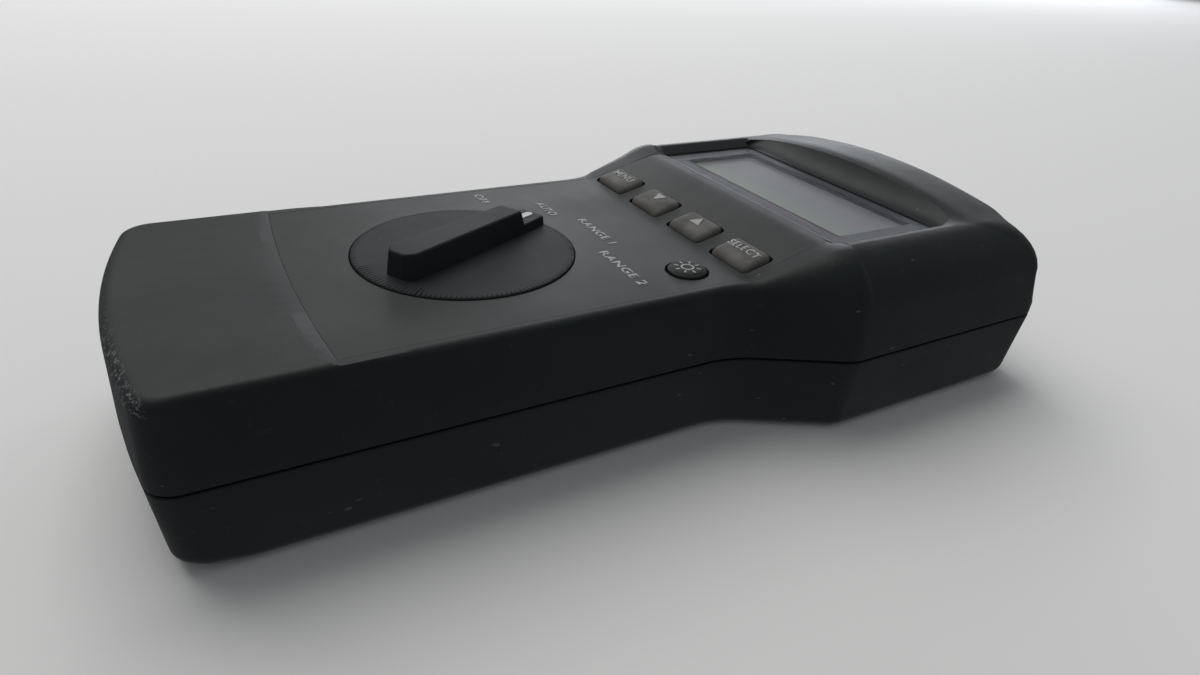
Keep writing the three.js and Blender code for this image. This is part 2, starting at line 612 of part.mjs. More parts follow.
// ---------------------------------------------------------------- rotary switch
// Everything here is drawn pointing along +Y and turned to the rest position by the group.
function rotaryKnob() {
  const top = FACE_Z + 0.3 - DIAL_FLOOR;
  const plate = disc(0, 0, 0.3, top, DIAL_RADIUS, 56);
  const notch = (i) => {
    const angle = (i / 28) * 2 * Math.PI;
    const radius = DIAL_RADIUS + 0.2;
    return disc(radius * Math.cos(angle), radius * Math.sin(angle), top - 0.7, top + 1, 0.55, 8);
  };
  const notches = Array.from({ length: 28 }, (_, i) => notch(i));
  const hub = disc(0, 0, ROTOR.z0 + 0.2 - DIAL_FLOOR, 1, HUB_RADIUS, 28);
  const flat = block(HUB_RADIUS - 1, HUB_RADIUS + 1, -6, 6, -9, -DIAL_FLOOR + ROTOR.z1 + 0.1);
  const base = [
    [4.1, -16.4],
    [4.2, 19.4],
    [1.6, 21.6],
    [-1.6, 21.6],
    [-4.2, 19.4],
    [-4.1, -16.4],
    [-2, -19],
    [2, -19],
  ];
  const barTop = [
    [3.3, -15.4],
    [2.7, 15],
    [-2.7, 15],
    [-3.3, -15.4],
    [-1.6, -17.5],
    [1.6, -17.5],
  ];
  const barFoot = [
    [4, -16.4],
    [3.6, 16],
    [-3.6, 16],
    [-4, -16.4],
    [-2, -19],
    [2, -19],
  ];
  const nose = prism(base, top - 0.5, top + 2.2);
  const bar = tapered(barFoot, barTop, top + 0.5, top + BAR_HEIGHT - 0.3);
  const whole = join(plate, hub, nose, bar);
  const inlay = block(-1.1, 1.1, 16.6, 21, top + 1.7, top + 3);
  return cut(whole, ...notches, flat, inlay);
}

// A solid between two outlines with the same number of points at different heights.
function tapered(foot, head, z0, z1) {
  const corners = [];
  const at = ([x, y], z) => [x, y, z];
  const n = foot.length;
  for (let i = 0; i < n; i++) {
    const j = (i + 1) % n;
    corners.push(...at(foot[i], z0), ...at(foot[j], z0), ...at(head[j], z1));
    corners.push(...at(foot[i], z0), ...at(head[j], z1), ...at(head[i], z1));
  }
  for (let i = 1; i + 1 < n; i++) {
    corners.push(...at(foot[0], z0), ...at(foot[i + 1], z0), ...at(foot[i], z0));
    corners.push(...at(head[0], z1), ...at(head[i], z1), ...at(head[i + 1], z1));
  }
  const geometry = new THREE.BufferGeometry();
  geometry.setAttribute("position", new THREE.Float32BufferAttribute(corners, 3));
  return solid(geometry);
}

function pointerInlay() {
  const top = FACE_Z + 0.3 - DIAL_FLOOR;
  return block(-0.8, 0.8, 16.9, 20.7, top + 2, top + 2.35);
}

function switchRotor() {
  const [z0, z1] = [ROTOR.z0 - DIAL_FLOOR, ROTOR.z1 - DIAL_FLOOR];
  const plate = disc(0, 0, z0, z1, ROTOR.radius, 40);
  const bore = cut(
    disc(0, 0, z0 - 1, z1 + 1, HUB_RADIUS + GAP, 28),
    block(HUB_RADIUS - 1 + GAP, HUB_RADIUS + 2, -6, 6, z0 - 2, z1 + 2),
  );
  return cut(plate, bore, disc(0, DETENT_RADIUS, z0 + 0.4, z1 + 1, 1.3, 16));
}

function detentBall() {
  const ball = new THREE.SphereGeometry(0.85, 12, 8);
  return solid(ball.translate(0, DETENT_RADIUS, ROTOR.z1 - DIAL_FLOOR - 0.6));
}

function detentSpring() {
  const low = ROTOR.z0 - DIAL_FLOOR + 0.6;
  return disc(0, DETENT_RADIUS, low, low + 0.4, 1, 14);
}

// A leaf that bridges two of the board's contact rings.
function wiper(x) {
  const [z0, z1] = [BOARD.z1 - DIAL_FLOOR + 0.15, ROTOR.z0 - DIAL_FLOOR - 0.15];
  const leaf = [
    [-10, z1],
    [-10, z1 - 0.3],
    [-4, z1 - 0.3],
    [3, z0],
    [5, z0],
    [8, z0 + 0.7],
    [8, z0 + 1],
    [4.9, z0 + 0.3],
    [3.1, z0 + 0.3],
    [-3.9, z1],
  ];
  return profileX(leaf, x - 1.2, x + 1.2);
}

// ---------------------------------------------------------------- display and boards
function lcdBezel() {
  const [half, y0, y1] = [35, WINDOW.y0 - 1.6, WINDOW.y1 + 2.6];
  const z0 = DISPLAY_BOARD.z1 + 0.2;
  const z1 = FACE_Z + HEAD_RISE - FACE_WALL - GAP;
  const inner = block(-half + 0.8, half - 0.8, y0 + 0.8, y1 - 0.8, z0 - 1, z1 - 0.8);
  const sight = block(-SIGHT.half - 0.6, SIGHT.half + 0.6, SIGHT.y0, SIGHT.y1, z0, z1 + 1);
  return cut(block(-half, half, y0, y1, z0, z1), inner, sight);
}

function lcdSlab(z0, z1, margin) {
  const { half, y0, y1 } = WINDOW;
  return block(-half - 1 + margin, half + 1 - margin, y0 - 0.5 + margin, y1 + 1.5 - margin, z0, z1);
}

function displayBoard() {
  const { z0, z1 } = DISPLAY_BOARD;
  const [low, high] = [DIAL_Y + 45, DIAL_Y + 103.6];
  const board = join(
    block(-33, 33, low, high, z0, z1),
    block(-40, 40, WINDOW.y0 - 4.5, high, z0, z1),
    block(LIGHT_KEY.x - 7, LIGHT_KEY.x + 6.6, LIGHT_KEY.y - 7, low + 1, z0, z1),
  );
  const clear = screwPlaces.map(({ x, y }) => disc(x, y, z0 - 1, z1 + 1, 4.4, 20));
  return cut(board, ...clear);
}

function mainBoard() {
  const { z0, z1 } = BOARD;
  const board = join(
    block(-30, 30, DIAL_Y - 44, DIAL_Y + 48, z0, z1),
    block(-34, 34, DIAL_Y + 47, HEAD_Y - 5.2, z0, z1),
  );
  return cut(board, ...BOARD_SCREWS.map(({ x, y }) => disc(x, y, z0 - 1, z1 + 1, 1.4, 12)));
}

function boardHeader() {
  const z0 = BOARD.z1 + 0.2;
  const z1 = DISPLAY_BOARD.z0 - 0.2;
  return block(-20, 20, DIAL_Y + 98.6, DIAL_Y + 101.2, z0, z1);
}

function chip(x, y, wide, deep, tall) {
  const z0 = BOARD.z1 + 0.2;
  return block(x - wide / 2, x + wide / 2, y - deep / 2, y + deep / 2, z0, z0 + tall);
}

function underBoard(x, y, wide, deep, tall) {
  const z1 = BOARD.z0 - 0.2;
  return block(x - wide / 2, x + wide / 2, y - deep / 2, y + deep / 2, z1 - tall, z1);
}

// ---------------------------------------------------------------- jacks

function jackBody() {
  const { x, half, z0, z1, front, deep } = JACK;
  const back = front - PLUG.deep;
  const latch = block(x - 3.1, x + 3.1, back, front + 1, PLUG.z0 - 1.1, PLUG.z0 + 1);
  const key = block(x - 1.7, x + 1.7, front - 8, front + 1, z0 + 0.7, PLUG.z0);
  const slots = CONTACTS.map((offset) =>
    block(x + offset - 0.36, x + offset + 0.36, back + 0.8, front - 1.6, PLUG.z1 - 1, PLUG.z1 + 1.9),
  );
  return cut(
    block(x - half, x + half, front - deep, front, z0, z1),
    block(x - PLUG.half, x + PLUG.half, back, front + 1, PLUG.z0, PLUG.z1),
    latch,
    key,
    ...slots,
  );
}

// A sprung contact: it lies in its slot at the mouth and slopes down into the socket.
function jackContact(offset) {
  const front = JACK.front - 2.2;
  const z = PLUG.z1 + 1.3;
  const side = [
    [front, z],
    [front, z + 0.3],
    [front - 1.4, z + 0.3],
    [front - 8.6, z - 2.4],
    [front - 8.4, z - 2.7],
    [front - 1.5, z],
  ];
  return profileX(side, JACK.x + offset - 0.2, JACK.x + offset + 0.2);
}

const COAX_WALL = HEAD_Y - COAX.x ** 2 / (2 * HEAD_BOW); // the end wall's face at the jack
function coaxBody() {
  const wall = COAX_WALL;
  const inner = wall - WALL - 1.2;
  const out = wall + COAX.reach;
  const barrel = turnedY(COAX.x, COAX.z, [
    [0, inner - 9],
    [3, inner - 9],
    [3, inner - 5],
    [COAX.neck + 1.6, inner - 5],
    [COAX.neck + 1.6, inner - 3],
    [COAX.neck - 0.2, inner - 3],
    [COAX.neck - 0.2, wall + 3],
    [COAX.barrel, wall + 3.4],
    [COAX.barrel, out],
    [COAX.barrel - 0.8, out],
    [COAX.barrel - 0.8, wall + 1],
    [0, wall + 1],
  ]);
  const { x, z } = COAX;
  const [low, high] = [COAX.barrel - 0.3, COAX.barrel + 1];
  const lugs = [-1, 1].map((side) => {
    const [a, b] = side > 0 ? [low, high] : [-high, -low];
    return block(x + a, x + b, out - 4.4, out - 2.4, z - 1, z + 1);
  });
  return join(barrel, ...lugs);
}

function coaxNut() {
  const { x, z, neck } = COAX;
  const hex = turnedY(
    x,
    z,
    [
      [0, COAX_WALL + 0.8],
      [neck + 2.2, COAX_WALL + 0.8],
      [neck + 2.2, COAX_WALL + 3],
      [0, COAX_WALL + 3],
    ],
    6,
  );
  return cut(hex, rodY(x, z, COAX_WALL - 1, COAX_WALL + 4, neck + 0.1, 24));
}

function coaxInsulator() {
  const [y0, y1] = [COAX_WALL + 1.3, COAX_WALL + COAX.reach - 2.6];
  return cut(rodY(COAX.x, COAX.z, y0, y1, 2.4, 16), rodY(COAX.x, COAX.z, y0 - 1, y1 + 1, 1.3, 16));
}

function coaxPin() {
  const [y0, y1] = [COAX_WALL + 1.3, COAX_WALL + COAX.reach - 2];
  const bore = rodY(COAX.x, COAX.z, y1 - 5, y1 + 1, 0.5, 10);
  return cut(rodY(COAX.x, COAX.z, y0, y1, 1, 14), bore);
}

// ---------------------------------------------------------------- batteries
function batteryTray() {
  const { half, y0, y1, roof, wall } = TRAY;
  const z0 = WALL + GAP;
  const hollow = block(-half + wall, half - wall, y0 + wall, y1 - wall, z0 - 1, roof);
  const middle = block(-0.3, 0.3, y0 + 4, y1 - 4, roof - 4, roof + 0.5);
  return join(cut(block(-half, half, y0, y1, z0, roof + wall), hollow), middle);
}

function cell(x, forwards) {
  const { radius, length, z, y0 } = CELL;
  const y1 = y0 + length;
  const [base, nose] = forwards ? [y0, y1] : [y1, y0];
  const way = forwards ? 1 : -1;
  const profile = [
    [0, base],
    [radius - 0.6, base],
    [radius, base + 0.6 * way],
    [radius, nose - 2 * way],
    [radius - 0.8, nose - 1.3 * way],
    [2.8, nose - 1.3 * way],
    [2.6, nose],
    [0, nose],
  ];
  return turnedY(x, z, forwards ? profile : profile.reverse(), 24);
}

// A conical spring standing on its tab at the tray's butt end.
function springContact(x, wallY, way) {
  const { z } = CELL;
  const turns = 2.5;
  const path = Array.from({ length: 26 }, (_, i) => {
    const t = i / 25;
    const angle = 2 * Math.PI * turns * t;
    const radius = 4.4 - 2 * t;
    const y = wallY + way * (0.9 + 1.1 * t);
    return new THREE.Vector3(x + radius * Math.cos(angle), y, z + radius * Math.sin(angle));
  });
  const tabY = [wallY, wallY + way * 0.7].sort((a, b) => a - b);
  const tab = block(x - 5.6, x + 5.6, tabY[0], tabY[1], z - 5, z + 6.6);
  const root = [wallY + way * 0.3, wallY + way * 1].sort((a, b) => a - b);
  const weld = block(x + 3.9, x + 4.9, root[0], root[1], z - 0.6, z + 0.6);
  return join(tab, weld, wire(new THREE.CatmullRomCurve3(path), 0.3, 30, 5));
}

// A flat tab with a pip that meets the cell's nose.
function plateContact(x, wallY, way) {
  const { z } = CELL;
  const [tabY, pipY] = [0.7, 1.8].map((reach) => [wallY, wallY + way * reach].sort((a, b) => a - b));
  const tab = block(x - 5.6, x + 5.6, tabY[0], tabY[1], z - 5, z + 6.6);
  return join(tab, rodY(x, z, pipY[0], pipY[1], 2.4, 16));
}

function linkContact() {
  const y1 = TRAY.y1 - TRAY.wall - GAP;
  const strap = block(-3, 3, y1 - 0.7, y1, CELL.z - 1, CELL.z + 3);
  return join(
    springContact(CELL.x, y1, -1),
    strap,
    plateContact(-CELL.x, y1, -1),
  );
}

// ---------------------------------------------------------------- the assembly
const tester = new THREE.Group();
const switchGroup = new THREE.Group();
switchGroup.position.set(0, DIAL_Y, DIAL_FLOOR);
switchGroup.rotation.z = POINTER_ANGLE;
tester.add(switchGroup);

function add(name, made, material, group = tester) {
  const mesh = new THREE.Mesh(geometryOf(made), material);
  mesh.name = name;
  group.add(mesh);
}

add("top_case", topCase(), CASE);
add("bottom_case", bottomCase(), CASE);
add("face_overlay", faceOverlay(), FACE);
add("lcd_window", lcdWindow(), CLEAR);
add("battery_door", batteryDoor(), CASE);

add("rotary_knob", rotaryKnob(), CASE, switchGroup);
add("pointer_inlay", pointerInlay(), WHITE, switchGroup);
add("switch_rotor", switchRotor(), WHITE, switchGroup);
add("detent_ball", detentBall(), STEEL, switchGroup);
add("detent_spring", detentSpring(), STEEL, switchGroup);
add("wiper_left", wiper(-11), BRASS, switchGroup);
add("wiper_right", wiper(11), BRASS, switchGroup);

for (const { name, x } of KEYS) add(name, key(x), KEY_RUBBER);
add("key_backlight", lightKey(), DARK_RUBBER);
add("keypad_mat", keypadMat(), DARK_RUBBER);

add("lcd_bezel", lcdBezel(), STEEL);
add("lcd_glass", lcdSlab(31.4, 32.9, 0.4), LCD);
add("lcd_light_guide", lcdSlab(28.3, 31.1, 1.4), WHITE);
add("display_board", displayBoard(), LAMINATE);
add("main_board", mainBoard(), LAMINATE);
add("board_header", boardHeader(), CHIP);
add("processor_chip", chip(8, DIAL_Y + 60, 14, 14, 1.8), CHIP);
add("memory_chip", chip(-16, DIAL_Y + 60, 9, 18, 2.1), CHIP);
add("clock_crystal", chip(25, DIAL_Y + 62, 4.6, 11, 2.6), STEEL);
add("pulse_transformer", underBoard(18, DIAL_Y + 96, 13, 11, 6.2), CHIP);
add("filter_capacitor", underBoard(-25, DIAL_Y + 66, 7, 7, 9), JACKET);
add("buzzer", disc(2, DIAL_Y + 76, BOARD.z0 - 6.2, BOARD.z0 - 0.2, 6.2, 28), CHIP);

add("rj45_jack", jackBody(), CHIP);
CONTACTS.forEach((offset, i) => add(`rj45_contact_${i + 1}`, jackContact(offset), BRASS));
add("coax_body", coaxBody(), TIN);
add("coax_nut", coaxNut(), TIN);
add("coax_insulator", coaxInsulator(), WHITE);
add("coax_pin", coaxPin(), BRASS);

const trayEnd = TRAY.y0 + TRAY.wall + GAP;
add("battery_tray", batteryTray(), CHIP);
add("battery_left", cell(-CELL.x, true), JACKET);
add("battery_right", cell(CELL.x, false), JACKET);
add("contact_negative", springContact(-CELL.x, trayEnd, 1), TIN);
add("contact_positive", plateContact(CELL.x, trayEnd, 1), TIN);
add("contact_link", linkContact(), TIN);

screwPlaces.forEach(({ x, y }, i) => add(`case_screw_${i + 1}`, caseScrew(x, y), STEEL));
BOARD_SCREWS.forEach(({ x, y }, i) => add(`board_screw_${i + 1}`, boardScrew(x, y), STEEL));

// The coaxial jack reaches past the head, so the case moves back to centre the whole length.
tester.position.y = -(COAX_WALL + COAX.reach - HEAD_Y) / 2;

export default tester;
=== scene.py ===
"""The looks of a hand-held network cable tester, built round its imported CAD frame.

Meshes are worked out in millimetres and scaled to metres when they are made. +Y runs from the
butt to the head, +Z stands out of the face.
"""

import json
import math
from functools import partial

import bmesh
import bpy
import numpy as np
from mathutils import Matrix, Vector


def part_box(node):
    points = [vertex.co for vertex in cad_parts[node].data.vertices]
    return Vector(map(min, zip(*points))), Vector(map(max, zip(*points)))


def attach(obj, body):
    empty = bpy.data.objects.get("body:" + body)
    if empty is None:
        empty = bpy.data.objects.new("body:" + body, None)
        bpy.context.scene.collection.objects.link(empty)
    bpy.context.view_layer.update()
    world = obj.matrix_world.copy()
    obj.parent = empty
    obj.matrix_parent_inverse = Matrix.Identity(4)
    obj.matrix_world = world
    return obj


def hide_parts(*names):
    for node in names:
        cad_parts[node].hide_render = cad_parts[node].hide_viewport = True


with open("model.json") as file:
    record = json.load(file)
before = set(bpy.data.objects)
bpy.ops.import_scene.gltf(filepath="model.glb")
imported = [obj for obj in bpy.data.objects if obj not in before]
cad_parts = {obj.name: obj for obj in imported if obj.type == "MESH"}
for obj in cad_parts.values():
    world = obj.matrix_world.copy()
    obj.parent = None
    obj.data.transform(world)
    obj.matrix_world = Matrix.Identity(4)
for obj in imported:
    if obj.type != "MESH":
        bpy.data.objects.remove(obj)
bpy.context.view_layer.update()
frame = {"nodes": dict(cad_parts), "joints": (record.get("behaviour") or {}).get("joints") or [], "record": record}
MM = 0.001


def box(node):
    """A CAD node's lowest and highest corners in millimetres."""
    low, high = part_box(node)
    return low / MM, high / MM


# ---------------------------------------------------------------- sizes, in millimetres
CASE_LOW, CASE_HIGH = box("bottom_case")
JOINTS = {joint["name"]: joint for joint in frame["joints"]}
SWITCH = Vector(JOINTS["switch_turn"]["pos_m"]) / MM
DIAL_Y = SWITCH.y
FACE_Z = SWITCH.z
ABOVE = FACE_Z + 12  # clear of everything on the face
GAP = 0.3  # between pieces that fit into each other

# The case's plan. Its ends are bowed, and the grip widens into the head over a neck and a slope.
BUTT_Y = CASE_LOW.y
HEAD_Y = CASE_HIGH.y
GRIP_HALF = 35.4
HEAD_HALF = CASE_HIGH.x
BUTT_BOW = 150
HEAD_BOW = 700
BUTT_CORNER = 5
HEAD_CORNER = 6
CORNER_GROWTH = 0.5  # the head's corners grow rounder by this much per millimetre of inset
NECK_Y = DIAL_Y + 37.3
NECK_RADIUS = 22
SHOULDER_ANGLE = math.radians(27.8)
SHOULDER_RADIUS = 8

# The case's section. The sides rise upright from the seam, lean in and roll over into the face.
SEAM_TOP = box("top_case")[0].z
SEAM_LOW = SEAM_TOP - 0.4
SEAM_LIP = 0.22  # the rounding on both lips of the seam
UPRIGHT = 2.5
DRAFT_TOP = 0.6
DRAFT_BASE = 1
CORNER_LEAN = 2.8  # how much further the upper half leans in at the head's corners
END_LEAN = 1.7  # and at the middle of its end
BUTT_EDGE = 2.4
GRIP_EDGE = 1.6
NECK_EDGE = 2.4
SLOPE_EDGE = 10
HEAD_EDGE = 12
CORNER_EDGE = 6
END_EDGE = 7.2
BUTT_BASE_EDGE = 4.5
BASE_EDGE = 2.5
HEAD_BASE_EDGE = 3
LEAST_EDGE = 0.5  # the smallest radius that an inner edge keeps
EDGE_STEPS = 10
WALL = 2.4
FACE_WALL = 3.6

# The face from the butt to the head: the butt, the lowered panel, the ramp, the window, the hood.
BUTT_RISE = 0.4
BUTT_RUN_OUT = (5.4, 8)  # where the butt's rise starts to end, from the panel's end, and its run
PANEL_END = DIAL_Y - 33.8
PANEL_BOW = 330
PANEL_BEVEL = 2.9  # how wide the slope at the middle of the panel's butt end is
PANEL_NARROWING = 0.8  # the share of that width that the slope loses at the panel's sides
RAMP_START = DIAL_Y + 45
RAMP_END = DIAL_Y + 66
HEAD_RISE = 4.8
HOOD_RISE = 8.1
HOOD_START = 3  # the hood's crown starts this far before the window's far edge
HOOD_RUN = 12
RIM_RISE = 1.0  # the rim on both sides of the window stands this far above the face
RIM_START = 10  # it starts this far before the ramp's end
RIM_RUN = 16
RIM_INSET = 1
RIM_WIDE = 5
RIM_SLOPE = 3.2  # how far out the rims slope up from the pane
END_FALL = 14  # the face falls over this length to the head's end
END_FALL_RATE = 0.012
SCOOP_DEPTH = 6.0  # the hollow behind the window, along Y
SCOOP_HALF = 34.6
SCOOP_BOW = 0.0006
SCOOP_ENDS = 12  # how square its ends are
SCOOP_SWEEP = 2.1  # how late it rises to the hood
SCOOP_LAND = 0.5

# The printed film on the panel, and the window.
OVERLAY_HALF = 32.3
OVERLAY_TOP = DIAL_Y + 67.2
OVERLAY_THICK = 0.6
OVERLAY_SEAT = 0.9
OVERLAY_SINK = 0.02  # how far its top lies below the face
OVERLAY_GAP = 0.08
WINDOW_HALF = 32.9
WINDOW_Y0 = DIAL_Y + 69.6
WINDOW_Y1 = DIAL_Y + 98.5
WINDOW_Y = (WINDOW_Y0 + WINDOW_Y1) / 2
WINDOW_ROUND = 0.5
WINDOW_GAP = 0.12
WINDOW_DROP = 0.8
WINDOW_THICK = 1.5
PANE_Z = FACE_Z + HEAD_RISE - WINDOW_DROP
PRINT_WIDE = 57.4  # the clear part of the pane
PRINT_DEEP = 21.9
PRINT_Y = WINDOW_Y + 1.0
PRINT_DEPTH = 0.4  # the border lies this far below the pane's top
# the width of the thin dark line of painted shade at the clear part's near edge
SHADE_LINE_WIDTH = 0.9
SHEET_HALF = 32  # the display's front sheet
SHEET_MARGIN = 0.9
SIGHT_HALF = 30.2  # the opening in the case below the pane
SIGHT_MARGIN = 3.6

# The dial, its bar and its well.
DIAL_RADIUS = 22.15
DIAL_FLOOR = 30.7
DIAL_STAND = 0.3
DIAL_EDGE = 0.35
DIAL_BOSS = 25.6
DIAL_BOSS_Z = 28.4
HUB_RADIUS = 5.5
HUB_GAP = 0.4
HUB_Z = 25.4
POINTER_ANGLE = math.radians(26.5)
RIM_GROOVES = 150
GRIP_ARC = 0.4  # the grooves are longer within this angle of the bar's tail
BAR_FOOT = [(-3.9, -16.6), (-2.3, -18.4), (2.3, -18.4), (3.9, -16.6), (3.7, 15.4), (-3.7, 15.4)]
BAR_HEAD = [(-3.4, -16.1), (-1.8, -17.9), (1.8, -17.9), (3.4, -16.1), (2.9, 14.4), (-2.9, 14.4)]
BAR_RISE = 4.9
NOSE = [(-3.7, 13), (3.7, 13), (3.3, 21.6), (2.6, 22.1), (-2.6, 22.1), (-3.3, 21.6)]
NOSE_RISE = 1.9
MARK = [(-0.9, 17.2), (0.9, 17.2), (0.9, 20.6), (0, 21.2), (-0.9, 20.6)]

# The keys.
KEY_ROW = DIAL_Y + 50.8
KEY_WIDE = 11.6
KEY_DEEP = 7
KEY_PITCH = 16.4
KEY_STAND = 0.9
KEY_CROWN = 0.35
KEY_EDGE = 1.25
KEY_ROUND = 1.4
LIGHT_KEY = Vector((24.8, DIAL_Y + 37.4))
LIGHT_KEY_RADIUS = 4
LIGHT_KEY_NOTCHES = 26
INK_HALF = 0.05  # half of a printed mark's thickness

# The battery door, the screws and the sockets.
DOOR_LOW, DOOR_HIGH = box("battery_door")
DOOR_Y = (DOOR_LOW.y + DOOR_HIGH.y) / 2
DOOR_THICK = 1.9
DOOR_ROUND = 2
DOOR_LEDGE = 1.4
DOOR_GROOVES = 6
CLIP_HALF = 4.6
SCREW_NODES = [f"case_screw_{i}" for i in range(1, 5)]
SCREW_BORE = 1.75
SCREW_HEAD = 3.2
SCREW_HEAD_Z = 5.2
BOARD_SCREW_NODES = ["board_screw_1", "board_screw_2"]
BOARD_BORE = 1.4
BOARD_POST = 2.6
BOARD_Z0 = 21.5
BOARD_Z1 = 23.1
JACK_LOW, JACK_HIGH = box("rj45_jack")
COAX = Vector((-17, 0, 13.4))
COAX_WALL = HEAD_Y - COAX.x**2 / (2 * HEAD_BOW)
COAX_BARREL = 4.8
COAX_NECK = 6
COAX_REACH = 11


# ---------------------------------------------------------------- meshes
def new_object(points, faces):
    """A closed mesh of millimetre points whose touching vertices are merged."""
    mesh = bpy.data.meshes.new("piece")
    mesh.from_pydata((np.asarray(points, float) * MM).tolist(), [], faces)
    made = bmesh.new()
    made.from_mesh(mesh)
    bmesh.ops.remove_doubles(made, verts=made.verts, dist=2e-7)
    bmesh.ops.dissolve_degenerate(made, edges=made.edges, dist=1e-8)
    bmesh.ops.recalc_face_normals(made, faces=made.faces)
    made.to_mesh(mesh)
    made.free()
    thing = bpy.data.objects.new("piece", mesh)
    bpy.context.scene.collection.objects.link(thing)
    return thing


def stack(rings):
    """A solid skinned over closed rings of [x, y, z] points, capped at both ends."""
    count = len(rings[0])
    points = np.concatenate([np.asarray(ring, float) for ring in rings])
    faces = [list(range(count))[::-1]]
    for k in range(len(rings) - 1):
        for i in range(count):
            j = (i + 1) % count
            low, high = k * count, (k + 1) * count
            faces.append([low + i, low + j, high + j, high + i])
    last = (len(rings) - 1) * count
    faces.append([last + i for i in range(count)])
    return new_object(points, faces)


def at_height(points, z):
    """A plan outline of [x, y] points lifted to a height, or to a height each."""
    points = np.asarray(points, float)
    return np.column_stack([points, np.broadcast_to(z, len(points))])


def prism(points, z0, z1):
    return stack([at_height(points, z0), at_height(points, z1)])


def block(x0, x1, y0, y1, z0, z1):
    return prism([(x0, y0), (x1, y0), (x1, y1), (x0, y1)], z0, z1)


def circle(x, y, radius, sides):
    angle = np.arange(sides) * 2 * math.pi / sides
    return np.column_stack([x + radius * np.cos(angle), y + radius * np.sin(angle)])


def turned(x, y, profile, sides=64):
    """A solid turned about a vertical line, from its (radius, z) profile."""
    return stack([at_height(circle(x, y, r, sides), z) for r, z in profile])


def cylinder(x, y, radius, z0, z1, sides=24):
    return turned(x, y, [(radius, z0), (radius, z1)], sides)


def turned_y(x, z, profile, sides=64):
    """A solid turned about a line along Y, from its (radius, y) profile."""
    rings = []
    for radius, y in profile:
        around = circle(x, z, radius, sides)
        rings.append(np.column_stack([around[:, 0], np.full(sides, y), around[:, 1]]))
    return stack(rings)


def profile_x(points, x0, x1):
    """A side profile of (y, z) points drawn out along X."""
    points = np.asarray(points, float)
    return stack([np.column_stack([np.full(len(points), x), points]) for x in (x0, x1)])


def rounded_rectangle(x, y, wide, deep, radius, steps=6):
    """The plan of a rectangle with round corners."""
    points = []
    for corner, (sx, sy) in enumerate([(1, 1), (-1, 1), (-1, -1), (1, -1)]):
        for i in range(steps + 1):
            angle = (corner + i / steps) * math.pi / 2
            points.append(
                (
                    x + sx * (wide / 2 - radius) + radius * math.cos(angle),
                    y + sy * (deep / 2 - radius) + radius * math.sin(angle),
                )
            )
    return np.array(points)


def combine(body, tools, operation="DIFFERENCE"):
    """Cuts the tools out of the body, or joins them to it, and clears the tools away."""
    for tool in tools:
        step = body.modifiers.new("step", "BOOLEAN")
        step.operation = operation
        step.solver = "MANIFOLD"
        step.object = tool
    graph = bpy.context.evaluated_depsgraph_get()
    made = bpy.data.meshes.new_from_object(body.evaluated_get(graph))
    body.modifiers.clear()
    body.data = made
    for tool in tools:
        bpy.data.objects.remove(tool)


def bevel(thing, width, segments=3, angle=30):
    """Rounds a piece's edges by a modifier, which a later combine applies where one follows."""
    made = thing.modifiers.new("edges", "BEVEL")
    made.width = width * MM
    made.segments = segments
    made.limit_method = "ANGLE"
    made.angle_limit = math.radians(angle)
    made.harden_normals = True


def name_and_paint(thing, name, material):
    thing.name = name
    thing.data.name = name
    thing.data.materials.clear()
    thing.data.materials.append(material)


def finish_piece(thing, name, body, nodes, material, angle=32):
    """Names, paints and mounts a piece that stands for CAD nodes, and shades it smoothly with
    crisp edges, weighted by face size so that flat faces stay flat."""
    name_and_paint(thing, name, material)
    thing.data.shade_smooth()
    thing.data.set_sharp_from_angle(angle=math.radians(angle))
    weighted = thing.modifiers.new("weighted", "WEIGHTED_NORMAL")
    weighted.keep_sharp = True
    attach(thing, body)
    if nodes:
        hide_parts(*nodes)


# ---------------------------------------------------------------- the case's outline and face
def ramp(t, ease=0.14):
    """0 before t = 0, 1 after t = 1 and a straight ramp with rounded ends between them."""
    t = np.clip(t, 0, 1)
    scale = 2 * ease * (1 - ease)
    rising = np.where(t < ease, t * t / scale, (t - ease / 2) / (1 - ease))
    return np.where(t > 1 - ease, 1 - (1 - t) ** 2 / scale, rising)


def face_line(y):
    """The face's height along the middle of the grip, the ramp and the window."""
    start, run = BUTT_RUN_OUT
    butt = BUTT_RISE * (1 - ramp((y - PANEL_END - start) / run))
    return FACE_Z + butt + HEAD_RISE * ramp((y - RAMP_START) / (RAMP_END - RAMP_START))


def face_height(x, y):
    """The face's height, with the rims beside the window and the hood's crown."""
    across = np.maximum(0, 1 - (x / (HEAD_HALF - HEAD_EDGE)) ** 2)
    along = ramp((y - WINDOW_Y1 + HOOD_START) / HOOD_RUN)
    rim_along = ramp((y - RAMP_END + RIM_START) / RIM_RUN, 0.5)
    rim_across = ramp((np.abs(x) - WINDOW_HALF + RIM_INSET) / RIM_WIDE, 0.5)
    rim = RIM_RISE * np.maximum(rim_along * rim_across, along)
    crown = (HOOD_RISE - HEAD_RISE) * across * along
    fall = np.maximum(0, y - (HEAD_Y - END_FALL)) ** 2 * END_FALL_RATE
    return face_line(y) + rim + crown - fall


# Each stretch of the half outline: its steps, and the top edge's radius where it starts and ends.
STRETCHES = [
    ("butt_bow", 14, BUTT_EDGE, BUTT_EDGE),
    ("butt_corner", 12, BUTT_EDGE, GRIP_EDGE),
    ("grip", 30, GRIP_EDGE, GRIP_EDGE),
    ("neck", 14, GRIP_EDGE, NECK_EDGE),
    ("slope", 14, NECK_EDGE, SLOPE_EDGE),
    ("shoulder", 10, SLOPE_EDGE, HEAD_EDGE),
    ("head", 34, HEAD_EDGE, HEAD_EDGE),
    ("head_corner", 14, HEAD_EDGE, CORNER_EDGE),
    ("head_bow", 22, CORNER_EDGE, END_EDGE),
]


